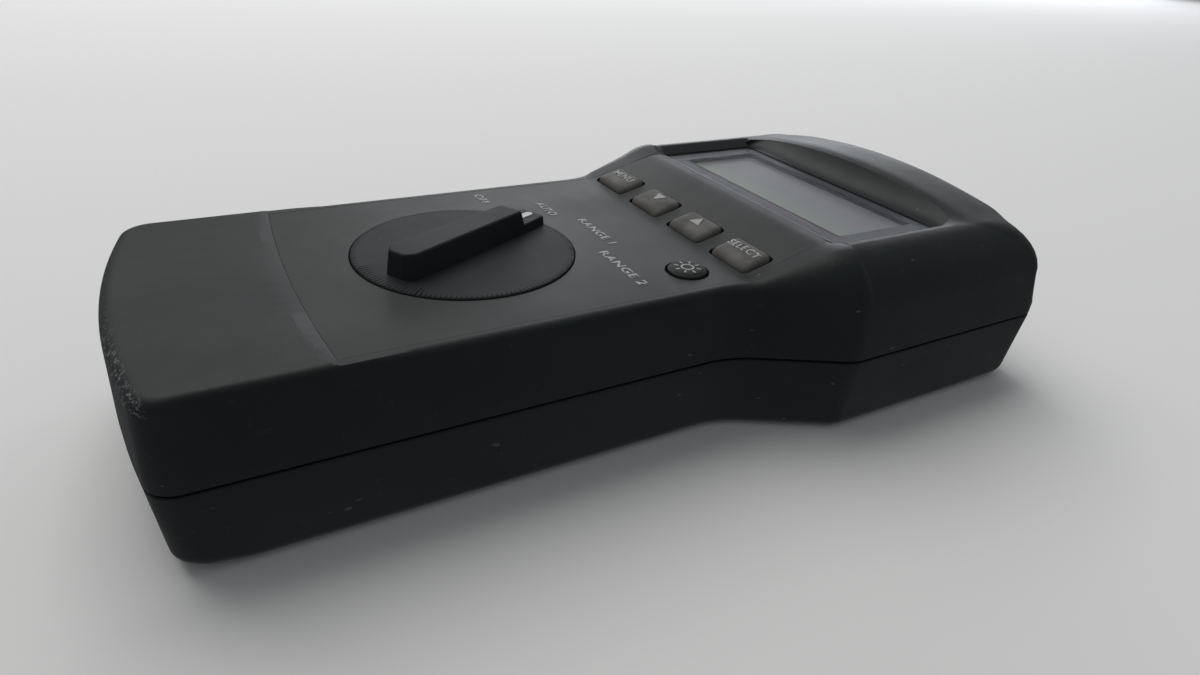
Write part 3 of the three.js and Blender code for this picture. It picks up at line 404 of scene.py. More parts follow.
def lay_out_stretches():
    """Where each stretch lies in the outline, and every point's share, top edge and lean."""
    slices, shares, edges, leans = {}, [], [], []
    leaning = {"head_corner": (0, CORNER_LEAN), "head_bow": (CORNER_LEAN, END_LEAN)}
    for name, steps, edge0, edge1 in STRETCHES:
        share = np.arange(steps) / steps
        lean0, lean1 = leaning.get(name, (0, 0))
        slices[name] = slice(len(shares), len(shares) + steps)
        shares.extend(share)
        edges.extend(edge0 + (edge1 - edge0) * share)
        leans.extend(lean0 + (lean1 - lean0) * ramp(share, 0.5))
    shares.append(1)
    edges.append(END_EDGE)
    leans.append(END_LEAN)
    return slices, np.array(shares), np.array(edges), np.array(leans)


SLICES, SHARES, EDGES, LEANS = lay_out_stretches()


def end_corner(side_x, bow_centre, bow_radius, radius, towards):
    """The fillet between a straight side and a bowed end: its centre and its end angle."""
    x = side_x - radius
    rise = towards * np.sqrt((bow_radius - radius) ** 2 - x**2)
    return x, bow_centre + rise, np.arctan2(rise, x)


def outline(inset):
    """The right half of the plan outline, each point moved in by its own inset."""
    inset = np.broadcast_to(np.asarray(inset, float), SHARES.shape)
    x, y = np.zeros(SHARES.shape), np.zeros(SHARES.shape)

    def arc(name, centre, radius, start, end):
        share = SHARES[SLICES[name]]
        angle = start + (end - start) * share
        x[SLICES[name]] = centre[0] + radius * np.cos(angle)
        y[SLICES[name]] = centre[1] + radius * np.sin(angle)

    def line(name, start, end):
        share = SHARES[SLICES[name]]
        x[SLICES[name]] = start[0] + (end[0] - start[0]) * share
        y[SLICES[name]] = start[1] + (end[1] - start[1]) * share

    def of(name):
        d = inset[SLICES[name]]
        round_head = HEAD_CORNER + CORNER_GROWTH * d
        butt_centre, head_centre = BUTT_Y + BUTT_BOW, HEAD_Y - HEAD_BOW
        butt = end_corner(GRIP_HALF - d, butt_centre, BUTT_BOW - d, BUTT_CORNER, -1)
        head = end_corner(HEAD_HALF - d, head_centre, HEAD_BOW - d, round_head, 1)
        return d, butt, head, round_head

    def shoulder(d):
        """The slope's two ends and the shoulder's centre and radius."""
        sin, cos = math.sin(SHOULDER_ANGLE), math.cos(SHOULDER_ANGLE)
        neck = NECK_RADIUS + d
        start = (GRIP_HALF + NECK_RADIUS - neck * cos, NECK_Y + neck * sin)
        reach = start[0] * cos - start[1] * sin
        radius = np.maximum(SHOULDER_RADIUS - d, 0.3)
        centre_x = HEAD_HALF - d - radius
        centre_y = (centre_x * cos - reach + radius) / sin
        end = (centre_x + radius * cos, centre_y - radius * sin)
        return start, end, (centre_x, centre_y), radius

    quarter = math.pi / 2
    d, butt, _, _ = of("butt_bow")
    arc("butt_bow", (0, BUTT_Y + BUTT_BOW), BUTT_BOW - d, -quarter, butt[2])
    d, butt, _, _ = of("butt_corner")
    arc("butt_corner", butt[:2], BUTT_CORNER, butt[2], 0)
    d, butt, _, _ = of("grip")
    line("grip", (GRIP_HALF - d, butt[1]), (GRIP_HALF - d, NECK_Y))
    d = inset[SLICES["neck"]]
    neck_centre = (GRIP_HALF + NECK_RADIUS, NECK_Y)
    arc("neck", neck_centre, NECK_RADIUS + d, math.pi, math.pi - SHOULDER_ANGLE)
    start, end, _, _ = shoulder(inset[SLICES["slope"]])
    line("slope", start, end)
    _, _, centre, radius = shoulder(inset[SLICES["shoulder"]])
    arc("shoulder", centre, radius, -SHOULDER_ANGLE, 0)
    d, _, head, _ = of("head")
    _, _, centre, _ = shoulder(d)
    line("head", (HEAD_HALF - d, centre[1]), (HEAD_HALF - d, head[1]))
    d, _, head, radius = of("head_corner")
    arc("head_corner", head[:2], radius, 0, head[2])
    d, _, head, _ = of("head_bow")
    arc("head_bow", (0, HEAD_Y - HEAD_BOW), HEAD_BOW - d, head[2], quarter)
    x[0] = 0
    x[-1], y[-1] = 0, HEAD_Y - inset[-1]
    return x, y


def whole_ring(inset):
    """The whole plan outline at one inset."""
    x, y = outline(inset)
    half = np.column_stack([x, y])
    return np.concatenate([half, half[-2:0:-1] * (-1, 1)])


def loft(stations, crown=None, columns=22):
    """A solid over half-outline stations listed upwards, mirrored about x = 0. Its ends are
    closed by rows that run straight across, raised to `crown` when one is given."""
    points, faces = [], []

    def quad(corners):
        faces.append(list(range(len(points), len(points) + 4)))
        points.extend(corners)

    flip = np.array((-1, 1, 1))
    for low, high in zip(stations, stations[1:]):
        for i in range(len(low) - 1):
            sides = [low[i], low[i + 1], high[i + 1], high[i]]
            quad(sides)
            quad([corner * flip for corner in sides])
    for station, height in ((stations[0], None), (stations[-1], crown)):
        count = columns if height else 1
        across = np.linspace(-1, 1, count + 1)
        rows = []
        for x, y, z in station:
            row = [np.array((x * share, y, z)) for share in across]
            if height:
                for corner in row[1:-1]:
                    corner[2] = height(corner[0], y)
            rows.append(row)
        for near, far in zip(rows, rows[1:]):
            for c in range(count):
                quad([near[c], near[c + 1], far[c + 1], far[c]])
    return new_object(points, faces)


def upper_body(z0, wall, face_wall):
    """The upper half's outside, or its inside when it is given walls."""
    edge = np.maximum(EDGES - wall, LEAST_EDGE)
    lip = 0 if wall else SEAM_LIP
    stations = []
    for inset, z in ((wall + lip, z0), (wall, z0 + lip), (wall, z0 + UPRIGHT)):
        x, y = outline(inset)
        stations.append(np.column_stack([x, y, np.full(len(x), z)]))
    if not lip:
        stations.pop(1)
    for k in range(EDGE_STEPS + 1):
        angle = k / EDGE_STEPS * math.pi / 2
        x, y = outline(wall + DRAFT_TOP + LEANS + edge * (1 - math.cos(angle)))
        z = face_height(x, y) - face_wall - edge * (1 - math.sin(angle))
        stations.append(np.column_stack([x, y, z]))
    return loft(stations, lambda x, y: face_height(x, y) - face_wall)


def lower_body(z1, wall, floor):
    """The lower half's outside, or its inside when it is given walls."""
    _, seam_y = outline(0)
    places = [BUTT_Y + 6, BUTT_Y + 14, HEAD_Y - 20, HEAD_Y - 4]
    edge = np.interp(seam_y, places, [BUTT_BASE_EDGE, BASE_EDGE, BASE_EDGE, HEAD_BASE_EDGE])
    edge = np.maximum(edge - wall, LEAST_EDGE)
    lip = 0 if wall else SEAM_LIP
    stations = []
    for k in range(EDGE_STEPS, -1, -1):
        angle = k / EDGE_STEPS * math.pi / 2
        x, y = outline(wall + DRAFT_BASE + edge * (1 - math.cos(angle)))
        stations.append(np.column_stack([x, y, floor + edge * (1 - math.sin(angle))]))
    for inset, z in ((wall, z1 - lip), (wall + lip, z1)):
        x, y = outline(inset)
        stations.append(np.column_stack([x, y, np.full(len(x), z)]))
    if not lip:
        stations.pop()
    return loft(stations)


# ---------------------------------------------------------------- cutters for the face
def panel_plan(half, grow, top=OVERLAY_TOP):
    """The plan of the grip's lowered face: its butt end is bowed."""
    x = np.linspace(-half, half, 33)
    bow = np.column_stack([x, PANEL_END - grow + x * x / (2 * PANEL_BOW)])
    return np.concatenate([bow, [(half, top + grow), (-half, top + grow)]])


def panel_cut():
    """What lowers the grip's face: its butt end slopes down over the panel's bevel."""
    half = GRIP_HALF + 5
    low = panel_plan(half, 0, DIAL_Y)
    high = low.copy()
    lift = 1.5
    narrowing = 1 - PANEL_NARROWING * (low[:-2, 0] / half) ** 2
    high[:-2, 1] -= PANEL_BEVEL / BUTT_RISE * lift * narrowing
    top = at_height(high, ABOVE)
    return stack([at_height(low, FACE_Z), at_height(high, FACE_Z + lift), top])


def face_strip(half, y0, y1, deep, shallow, steps=70):
    """A strip of the face between two depths below its surface."""
    y = np.linspace(y0, y1, steps + 1)
    height = face_line(np.maximum(y, PANEL_END + 16))
    under = np.column_stack([y, height - deep])
    over = np.column_stack([y, height - shallow])[::-1]
    return profile_x(np.concatenate([under, over]), -half, half)


def key_places():
    names = ["key_menu", "key_down", "key_up", "key_select"]
    return [(name, (i - 1.5) * KEY_PITCH) for i, name in enumerate(names)]


def well(ring_at, deep, rim=0.3):
    """A cutter that follows the face, with a rounded rim. ring_at(grow) gives its plan."""
    steps = [(0, -deep), (0, -rim)]
    steps += [(rim * (1 - math.cos(a)), -rim * (1 - math.sin(a))) for a in (0.4, 0.8, 1.15)]
    steps += [(rim + 0.05, 0.1)]
    rings = []
    for grow, rise in steps:
        ring = ring_at(grow)
        rings.append(at_height(ring, face_line(ring[:, 1]) + rise))
    rings.append(at_height(rings[-1][:, :2], ABOVE))
    rings[0][:, 2] = FACE_Z - deep
    return stack(rings)


def face_openings(clearance, deep, rim=0.3):
    """The wells for the four keys and the backlight key."""

    def key_ring(x, grow):
        wide, tall = (side + 2 * (clearance + grow) for side in (KEY_WIDE, KEY_DEEP))
        return rounded_rectangle(x, KEY_ROW, wide, tall, 1.2 + grow, 8)

    def light_ring(grow):
        return circle(*LIGHT_KEY, LIGHT_KEY_RADIUS + clearance + grow, 64)

    rings = [partial(key_ring, x) for _, x in key_places()]
    return [well(ring_at, deep, rim) for ring_at in (*rings, light_ring)]


def dial_well(rim=0.3):
    radius = DIAL_RADIUS + 0.2
    profile = [
        (radius, DIAL_FLOOR),
        (radius, FACE_Z - rim),
        (radius + rim * 0.3, FACE_Z - rim * 0.3),
        (radius + rim, FACE_Z),
        (radius + rim * 2, FACE_Z + rim * 0.6),
        (radius + rim * 2, ABOVE),
    ]
    return turned(0, DIAL_Y, profile, 160)


def window_slopes():
    """What slopes the case down to the pane, from the face film and from both rims."""
    top = FACE_Z + HEAD_RISE
    start, end = OVERLAY_TOP + 0.2, WINDOW_Y0 + 0.2
    wedge = [(start, top), (end, PANE_Z), (end, ABOVE), (start, ABOVE)]
    tools = [profile_x(wedge, -WINDOW_HALF - 0.1, WINDOW_HALF + 0.1)]
    # Each station along a rim, and how far the slope is lifted there to run out of the case.
    stations = [(WINDOW_Y0 - 8, 2), (end, 0), (WINDOW_Y1 + GAP, 0), (WINDOW_Y1 + 8, 3)]
    for side in (-1, 1):
        edge, rim = side * (WINDOW_HALF - 0.1), side * (WINDOW_HALF + RIM_SLOPE)
        ring = [(edge, PANE_Z), (rim, top + RIM_RISE), (rim, ABOVE), (edge, ABOVE)]
        tools.append(stack([[(x, y, z + lift) for x, z in ring] for y, lift in stations]))
    return tools


def hood_scoop():
    """The hollow that sweeps up from the window's far edge to the hood's rim."""
    columns, rows = 64, 16
    y0 = WINDOW_Y1 + GAP + SCOOP_LAND
    share = np.sin((np.linspace(-1, 1, columns + 1)) * math.pi / 2 * 0.985)
    x = SCOOP_HALF * share
    reach = (SCOOP_DEPTH - SCOOP_BOW * x * x) * np.sqrt(1 - np.abs(share) ** SCOOP_ENDS)
    rim = face_height(x, y0 + reach)
    grid = []
    for r in range(rows + 1):
        t = max(0, r - 1) / (rows - 1)
        back = 2 * SCOOP_LAND if r == 0 else 0
        z = PANE_Z + (rim - PANE_Z) * t**SCOOP_SWEEP
        grid.append(np.column_stack([x, y0 - back + reach * t, z]))
    grid.append(grid[-1] + (grid[-1] - grid[-2]) * (0, 0.6, 0.6))
    points = np.concatenate(grid)
    lid = points.copy()
    lid[:, 2] = ABOVE
    wide = columns + 1
    count = len(points)
    faces = []
    for r in range(len(grid) - 1):
        for c in range(columns):
            a, b = r * wide + c, (r + 1) * wide + c
            faces.append([a, b, b + 1, a + 1])
            faces.append([count + a, count + a + 1, count + b + 1, count + b])
        for c in (0, columns):
            a, b = r * wide + c, (r + 1) * wide + c
            faces.append([a, b, count + b, count + a])
    for r in (0, len(grid) - 1):
        for c in range(columns):
            a = r * wide + c
            faces.append([a, a + 1, count + a + 1, count + a])
    return new_object(np.concatenate([points, lid]), faces)


# ---------------------------------------------------------------- the case
def middle(node):
    low, high = box(node)
    return (low + high) / 2


def cylinders(nodes, radius, z0, z1, sides=24):
    """Upright cylinders at the places of CAD nodes."""
    return [cylinder(*middle(node).xy, radius, z0, z1, sides) for node in nodes]


def coax_cylinder(radius, y0, y1, sides=64):
    return turned_y(COAX.x, COAX.z, [(radius, y0), (radius, y1)], sides)


def jack_cuts():
    inside, outside = HEAD_Y - 9, HEAD_Y + 5
    wide = (JACK_LOW.x - GAP, JACK_HIGH.x + GAP)
    tall = (JACK_LOW.z - GAP, JACK_HIGH.z + GAP)
    jack = block(*wide, inside, outside, *tall)
    return [jack, coax_cylinder(COAX_NECK + 0.1, inside, outside, 48)]


def make_top_case(material):
    shell = upper_body(SEAM_TOP, 0, 0)
    combine(shell, [upper_body(SEAM_TOP - 1, WALL, FACE_WALL)])
    bosses = cylinders(SCREW_NODES, 3.4, SEAM_TOP + 2.2, 32, 32)
    posts = []
    for node in BOARD_SCREW_NODES:
        x, y = middle(node).xy
        top = float(face_height(x, y)) - 2
        posts.append(cylinder(x, y, BOARD_POST, BOARD_Z1 + GAP, top))
    dial_boss = cylinder(0, DIAL_Y, DIAL_BOSS, DIAL_BOSS_Z, FACE_Z - 1, 96)
    combine(shell, [dial_boss, *bosses, *posts], "UNION")

    half = OVERLAY_HALF + OVERLAY_GAP
    label = face_strip(half, PANEL_END - 6, OVERLAY_TOP, OVERLAY_SEAT, -3)
    combine(label, [prism(panel_plan(half, 0), FACE_Z - 3, ABOVE)], "INTERSECT")
    wide, deep = 2 * (WINDOW_HALF + WINDOW_GAP), WINDOW_Y1 - WINDOW_Y0 + 2 * WINDOW_GAP
    plan = rounded_rectangle(0, WINDOW_Y, wide, deep, WINDOW_ROUND + 0.1)
    window = prism(plan, PANE_Z - WINDOW_THICK - GAP, ABOVE)
    y0, y1 = WINDOW_Y0 + SIGHT_MARGIN, WINDOW_Y1 - SIGHT_MARGIN
    sight = block(-SIGHT_HALF, SIGHT_HALF, y0, y1, FACE_Z - 4, ABOVE)
    hub = cylinder(0, DIAL_Y, HUB_RADIUS + HUB_GAP, 27, FACE_Z, 48)
    screws = cylinders(SCREW_NODES, SCREW_BORE, SEAM_LOW, 27)
    screws += cylinders(BOARD_SCREW_NODES, BOARD_BORE, BOARD_Z0, BOARD_Z1 + 6.5)
    grip_cuts = [panel_cut(), label, *face_openings(0.45, 9), dial_well(), hub]
    head_cuts = [window, sight, *window_slopes(), hood_scoop()]
    combine(shell, [*grip_cuts, *head_cuts, *screws, *jack_cuts()])
    finish_piece(shell, "top_shell", "case", ["top_case"], material)


def make_bottom_case(material):
    shell = lower_body(SEAM_LOW, 0, 0)
    combine(shell, [lower_body(SEAM_LOW + 1, WALL, WALL)])
    lip = prism(whole_ring(WALL + GAP), SEAM_LOW - 2.5, SEAM_LOW + 1.4)
    root = prism(whole_ring(WALL - 0.4), SEAM_LOW - 2.5, SEAM_LOW - 0.6)
    hollow = prism(whole_ring(WALL + 1.5), SEAM_LOW - 5, SEAM_LOW + 3)
    combine(lip, [root], "UNION")
    combine(lip, [hollow])
    bosses = cylinders(SCREW_NODES, 4.2, 0.5, SEAM_LOW + 1.8, 32)
    combine(shell, [lip, *bosses], "UNION")

    half, y0, y1 = DOOR_HIGH.x, DOOR_LOW.y, DOOR_HIGH.y
    plan = rounded_rectangle(0, DOOR_Y, 2 * half + 0.4, y1 - y0 + 0.4, DOOR_ROUND + 0.2)
    seat = prism(plan, -1, DOOR_THICK + GAP)
    inner = half - DOOR_LEDGE
    bay = block(-inner, inner, y0 + DOOR_LEDGE, y1 - 7, -1, WALL + 1)
    clip_slot = block(-5.2, 5.2, y1 - 4.7, y1 - 1.9, -1, WALL + 1)
    thumb = turned(0, y1 + 3, [(7.5, -1), (6.6, 0.9), (6.4, 1.1)], 48)
    rim = 0.3
    flare = [(SCREW_HEAD + 2 * rim, -1), (SCREW_HEAD + rim, -0.02)]
    sink = [*flare, (SCREW_HEAD, rim), (SCREW_HEAD, SCREW_HEAD_Z)]
    holes = [turned(*middle(node).xy, sink, 48) for node in SCREW_NODES]
    holes += cylinders(SCREW_NODES, SCREW_BORE, -1, SEAM_LOW + 3)
    combine(shell, [seat, bay, clip_slot, thumb, *holes, *jack_cuts()])
    finish_piece(shell, "bottom_shell", "case", ["bottom_case"], material)


def make_door(material):
    half, y0, y1 = DOOR_HIGH.x, DOOR_LOW.y, DOOR_HIGH.y
    rings = []
    for inset, z in [(0.35, 0), (0.1, 0.1), (0, 0.35), (0, DOOR_THICK)]:
        wide, deep = 2 * (half - inset), y1 - y0 - 2 * inset
        rings.append(at_height(rounded_rectangle(0, DOOR_Y, wide, deep, DOOR_ROUND - inset), z))
    door = stack(rings)
    grooves = []
    for i in range(DOOR_GROOVES):
        y = y1 - 9 - 2.2 * i
        wide = 20 - 1.2 * i
        floor = at_height(rounded_rectangle(0, y, wide, 0.9, 0.44), 0.5)
        mouth = rounded_rectangle(0, y, wide + 0.5, 1.4, 0.69)
        grooves.append(stack([at_height(mouth, -1), at_height(mouth, -0.01), floor]))
    combine(door, grooves)
    clip = block(-CLIP_HALF, CLIP_HALF, y1 - 4.2, y1 - 3, DOOR_THICK - 0.5, WALL + 2.6)
    barb = block(-CLIP_HALF, CLIP_HALF, y1 - 4.2, y1 - 2.4, WALL + 1.6, WALL + 2.6)
    combine(door, [clip, barb], "UNION")
    finish_piece(door, "door_panel", "battery_door", ["battery_door"], material)


def make_overlay(material):
    top = OVERLAY_TOP - OVERLAY_GAP
    strip = face_strip(OVERLAY_HALF, PANEL_END - 6, top, OVERLAY_THICK, OVERLAY_SINK)
    plan = panel_plan(OVERLAY_HALF, -OVERLAY_GAP)
    combine(strip, [prism(plan, FACE_Z - 3, ABOVE)], "INTERSECT")
    combine(strip, [dial_well(0.25), *face_openings(0.4, 3, 0.2)])
    finish_piece(strip, "face_film", "case", ["face_overlay"], material)


def make_window(clear, border_ink_and_reflection, shade_line_paint, cell):
    """The clear lens, its printed border, whose grey is partly a painted reflection, a thin dark line of painted
    shade along the clear part's near edge, and the display's front sheet below it.
    """
    wide, deep = 2 * WINDOW_HALF, WINDOW_Y1 - WINDOW_Y0
    base, layer = PANE_Z - WINDOW_THICK, PANE_Z - PRINT_DEPTH
    rings = []
    for inset, z in [(0, base), (0, PANE_Z - 0.25), (0.25, PANE_Z)]:
        plan = rounded_rectangle(0, WINDOW_Y, wide - 2 * inset, deep - 2 * inset, WINDOW_ROUND)
        rings.append(at_height(plan, z))
    lens = stack(rings)
    rebate = block(-40, 40, WINDOW_Y0 - 5, WINDOW_Y1 + 5, base - 1, layer + 0.03)
    core = rounded_rectangle(0, PRINT_Y, PRINT_WIDE - 0.04, PRINT_DEEP - 0.04, 0.6)
    combine(rebate, [prism(core, base - 2, PANE_Z + 2)])
    combine(lens, [rebate])
    finish_piece(lens, "window_pane", "case", ["lcd_window"], clear)

    # The printed border; its grey-blue is partly its ink and partly a painted reflection of the sky on the lens.
    plan = rounded_rectangle(0, WINDOW_Y, wide - 0.1, deep - 0.1, WINDOW_ROUND)
    border = prism(plan, base, layer)
    plan = rounded_rectangle(0, PRINT_Y, PRINT_WIDE, PRINT_DEEP, 0.6)
    combine(border, [prism(plan, base - 2, PANE_Z + 2)])
    finish_piece(border, "window_print", "case", [], border_ink_and_reflection)
    # A thin dark line of painted shade along the clear part's near edge, where the bezel's inner wall shades the
    # display.
    half, near = PRINT_WIDE / 2, PRINT_Y - PRINT_DEEP / 2
    line = block(-half, half, near - SHADE_LINE_WIDTH, near, layer + 0.005, layer + 0.025)
    finish_piece(line, "window_shade_line", "case", [], shade_line_paint)
    y0, y1 = WINDOW_Y0 + SHEET_MARGIN, WINDOW_Y1 - SHEET_MARGIN
    sheet = block(-SHEET_HALF, SHEET_HALF, y0, y1, base - 0.26, base - 0.04)
    finish_piece(sheet, "display_sheet", "case", [], cell)


# ---------------------------------------------------------------- the switch
def turn_plan(points):
    """A plan drawn pointing along +Y, turned to the switch's rest position."""
    points = np.asarray(points, float)
    cos, sin = math.cos(POINTER_ANGLE), math.sin(POINTER_ANGLE)
    x = points[:, 0] * cos - points[:, 1] * sin
    y = points[:, 0] * sin + points[:, 1] * cos
    return np.column_stack([x, y + DIAL_Y])


def grow_plan(points, amount):
    """A plan outline of a convex shape, anticlockwise, moved out by an amount."""
    points = np.asarray(points, float)
    ahead = np.roll(points, -1, 0) - points
    ahead /= np.linalg.norm(ahead, axis=1)[:, None]
    behind = np.roll(ahead, 1, 0)
    out_a = np.column_stack([ahead[:, 1], -ahead[:, 0]])
    out_b = np.column_stack([behind[:, 1], -behind[:, 0]])
    both = out_a + out_b
    return points + both * (amount / (0.5 * (both**2).sum(1)))[:, None]


def rim_grooves(top):
    """V grooves that run in from the dial's rim, reaching further in beside the bar's tail."""
    points, faces = [], []
    tail = POINTER_ANGLE - math.pi / 2
    for i in range(RIM_GROOVES):
        angle = i * 2 * math.pi / RIM_GROOVES
        off_tail = abs((angle - tail + math.pi) % (2 * math.pi) - math.pi)
        inner, depth, wide = (19.1, 0.42, 0.3) if off_tail < GRIP_ARC else (21.0, 0.45, 0.26)
        out = np.array((math.cos(angle), math.sin(angle)))
        side = np.array((-out[1], out[0]))
        start = len(points)
        for radius, half, low in [(inner, 0.05, 0.02), (DIAL_RADIUS + 0.45, wide, depth)]:
            for across, z in [(-1, 0.02), (1, 0.02), (0, -low)]:
                x, y = out * radius + side * half * across
                points.append((x, y + DIAL_Y, top + z))
        a, b, c, d, e, f = range(start, start + 6)
        faces += [[a, b, c], [d, f, e], [a, d, e, b], [b, e, f, c], [c, f, d, a]]
    return new_object(points, faces)


def make_knob(material, mark_ink):
    top = FACE_Z + DIAL_STAND
    profile = [(DIAL_RADIUS, DIAL_FLOOR + GAP), (DIAL_RADIUS, top - DIAL_EDGE)]
    for angle in (0.4, 0.8, 1.2, math.pi / 2):
        inset, drop = DIAL_EDGE * (1 - math.cos(angle)), DIAL_EDGE * (1 - math.sin(angle))
        profile.append((DIAL_RADIUS - inset, top - drop))
    dial = turned(0, DIAL_Y, profile, 192)
    combine(dial, [rim_grooves(top)])
    hub = cylinder(0, DIAL_Y, HUB_RADIUS, HUB_Z, top - 1, 64)
    foot, head = turn_plan(NOSE), turn_plan(grow_plan(NOSE, -0.2))
    rings = [(foot, top - 0.5), (foot, top + 0.1), (head, top + NOSE_RISE)]
    nose = stack([at_height(plan, z) for plan, z in rings])
    bevel(nose, 0.35, 3)
    foot, head = turn_plan(BAR_FOOT), turn_plan(BAR_HEAD)
    bar = stack([at_height(foot, top - 0.4), at_height(head, top + BAR_RISE)])
    bevel(bar, 0.45, 4)
    combine(dial, [hub, nose, bar], "UNION")
    finish_piece(dial, "dial_knob", "knob", ["rotary_knob"], material, 28)
    inlay = prism(turn_plan(MARK), top + NOSE_RISE - 0.3, top + NOSE_RISE + 0.12)
    bevel(inlay, 0.08, 2)
    finish_piece(inlay, "pointer_mark", "knob", ["pointer_inlay"], mark_ink)


# ---------------------------------------------------------------- the keys
def key_top(x, y, centre_x):
    """The height of a key's crowned top."""
    u = np.clip((x - centre_x) / (KEY_WIDE / 2), -1, 1)
    v = np.clip((y - KEY_ROW) / (KEY_DEEP / 2), -1, 1)
    return face_line(y) + KEY_STAND + KEY_CROWN * (1 - u**2) * (1 - 0.6 * v**2)


def make_key(name, x, material):
    def plan_at(inset):
        wide, deep = KEY_WIDE - 2 * inset, KEY_DEEP - 2 * inset
        return rounded_rectangle(x, KEY_ROW, wide, deep, max(KEY_ROUND - 0.5 * inset, 0.2), 8)

    rings = [at_height(plan_at(0), box(name)[0].z)]
    angles = [k / 8 * math.pi / 2 for k in range(9)]
    steps = [(KEY_EDGE * (1 - math.cos(a)), KEY_EDGE * (1 - math.sin(a))) for a in angles]
    steps += [(inset, 0) for inset in (1.5, 1.9, 2.4, 3.0)]
    for inset, drop in steps:
        plan = plan_at(inset)
        rings.append(at_height(plan, key_top(plan[:, 0], plan[:, 1], x) - drop))
    finish_piece(stack(rings), "cap_" + name, name, [name], material, 60)


def make_light_key(material):
    name = "key_backlight"
    profile = [(LIGHT_KEY_RADIUS, box(name)[0].z)]
    steps = [(0, 0.1), (0.2, 0.35), (0.55, 0.4), (0.75, 0.62), (1.1, 0.72), (2.8, 0.78)]
    profile += [(LIGHT_KEY_RADIUS - inset, FACE_Z + rise) for inset, rise in steps]
    key = turned(*LIGHT_KEY, profile, 96)
    spots = circle(*LIGHT_KEY, LIGHT_KEY_RADIUS + 0.12, LIGHT_KEY_NOTCHES)
    combine(key, [cylinder(*spot, 0.3, FACE_Z - 0.5, FACE_Z + 2, 10) for spot in spots])
    finish_piece(key, "cap_" + name, name, [name], material, 50)


# ---------------------------------------------------------------- printed marks
def print_object(name, thing, height_at, body, material):
    """Settles a flat mesh onto a surface and makes it a thin closed layer there."""
    mesh = bmesh.new()
    mesh.from_mesh(thing.data)
    bmesh.ops.remove_doubles(mesh, verts=mesh.verts, dist=1e-6)
    bmesh.ops.triangulate(mesh, faces=mesh.faces)
    lifted = bmesh.ops.extrude_face_region(mesh, geom=list(mesh.faces))
    raised = {v for v in lifted["geom"] if isinstance(v, bmesh.types.BMVert)}
    for vertex in mesh.verts:
        x, y = vertex.co.x / MM, vertex.co.y / MM
        over = INK_HALF if vertex in raised else -INK_HALF
        vertex.co.z = (float(height_at(x, y)) + over) * MM
    bmesh.ops.recalc_face_normals(mesh, faces=mesh.faces)
    mesh.to_mesh(thing.data)
    mesh.free()
    name_and_paint(thing, name, material)
    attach(thing, body)


def words(name, text, x0, x1, y, size, height_at, body, material):
    """A generic word printed between x0 and x1, its letters `size` tall."""
    curve = bpy.data.curves.new(name, "FONT")
    curve.body = text
    curve.size = 1.0
    curve.offset = 0.022
    curve.resolution_u = 4
    thing = bpy.data.objects.new(name, curve)
    bpy.context.scene.collection.objects.link(thing)
    bpy.context.view_layer.update()
    mesh = bpy.data.meshes.new_from_object(thing)
    bpy.data.objects.remove(thing)
    points = np.array([v.co for v in mesh.vertices])
    low, high = points.min(0), points.max(0)
    points[:, 0] = x0 + (points[:, 0] - low[0]) / (high[0] - low[0]) * (x1 - x0)
    points[:, 1] = y + (points[:, 1] - low[1]) / (high[1] - low[1]) * size
    mesh.vertices.foreach_set("co", (points * MM).ravel())
    thing = bpy.data.objects.new(name, mesh)
    bpy.context.scene.collection.objects.link(thing)
    print_object(name, thing, height_at, body, material)


def flat_mesh(plans):
    """One flat mesh of several plan outlines."""
    points, faces = [], []
    for plan in plans:
        faces.append(list(range(len(points), len(points) + len(plan))))
        points.extend((x, y, 0) for x, y in plan)
    return new_object(points, faces)


def sun_plans():
    """The backlight key's sign: a ring of 24 parts and eight rays."""
    cx, cy = LIGHT_KEY
    plans = []
    for i in range(24):
        a, b = i * math.pi / 12, (i + 1) * math.pi / 12
        ring = [(1.0, a), (1.38, a), (1.38, b), (1.0, b)]
        plans.append([(cx + r * math.cos(t), cy + r * math.sin(t)) for r, t in ring])
    for i in range(8):
        t = i * math.pi / 4
        out, side = Vector((math.cos(t), math.sin(t))), Vector((-math.sin(t), math.cos(t)))
        corners = [(1.85, -0.18), (2.75, -0.18), (2.75, 0.18), (1.85, 0.18)]
        plans.append([tuple(LIGHT_KEY + out * r + side * s) for r, s in corners])
    return plans


def make_prints(material):
    def on_film(x, y):
        return face_line(y) - OVERLAY_SINK

    def on_light_key(x, y):
        return FACE_Z + 0.745

    for name, text, x0, x1, y in [
        ("print_off", "OFF", -29.8, -23.3, DIAL_Y + 13.0),
        ("print_auto", "AUTO", -20.0, -11.4, DIAL_Y + 24.7),
        ("print_range_1", "RANGE 1", -7.1, 7.6, DIAL_Y + 29.2),
        ("print_range_2", "RANGE 2", 10.6, 27.4, DIAL_Y + 24.9),
    ]:
        words(name, text, x0, x1, y, 2.1, on_film, "case", material)

    places = dict(key_places())
    for name, text, half in [("key_menu", "MENU", 4.0), ("key_select", "SELECT", 4.8)]:
        x, y = places[name], KEY_ROW - 0.2
        on_key = partial(key_top, centre_x=x)
        words("print_" + name, text, x - half, x + half, y, 1.9, on_key, name, material)
    for name, way in [("key_down", -1), ("key_up", 1)]:
        x, y = places[name], KEY_ROW + 0.7
        on_key = partial(key_top, centre_x=x)
        arrow = [(x - 1.7, y - way * 1.2), (x + 1.7, y - way * 1.2), (x, y + way * 1.4)]
        print_object("print_" + name, flat_mesh([arrow[::way]]), on_key, name, material)
    sun = flat_mesh(sun_plans())
    print_object("print_backlight", sun, on_light_key, "key_backlight", material)


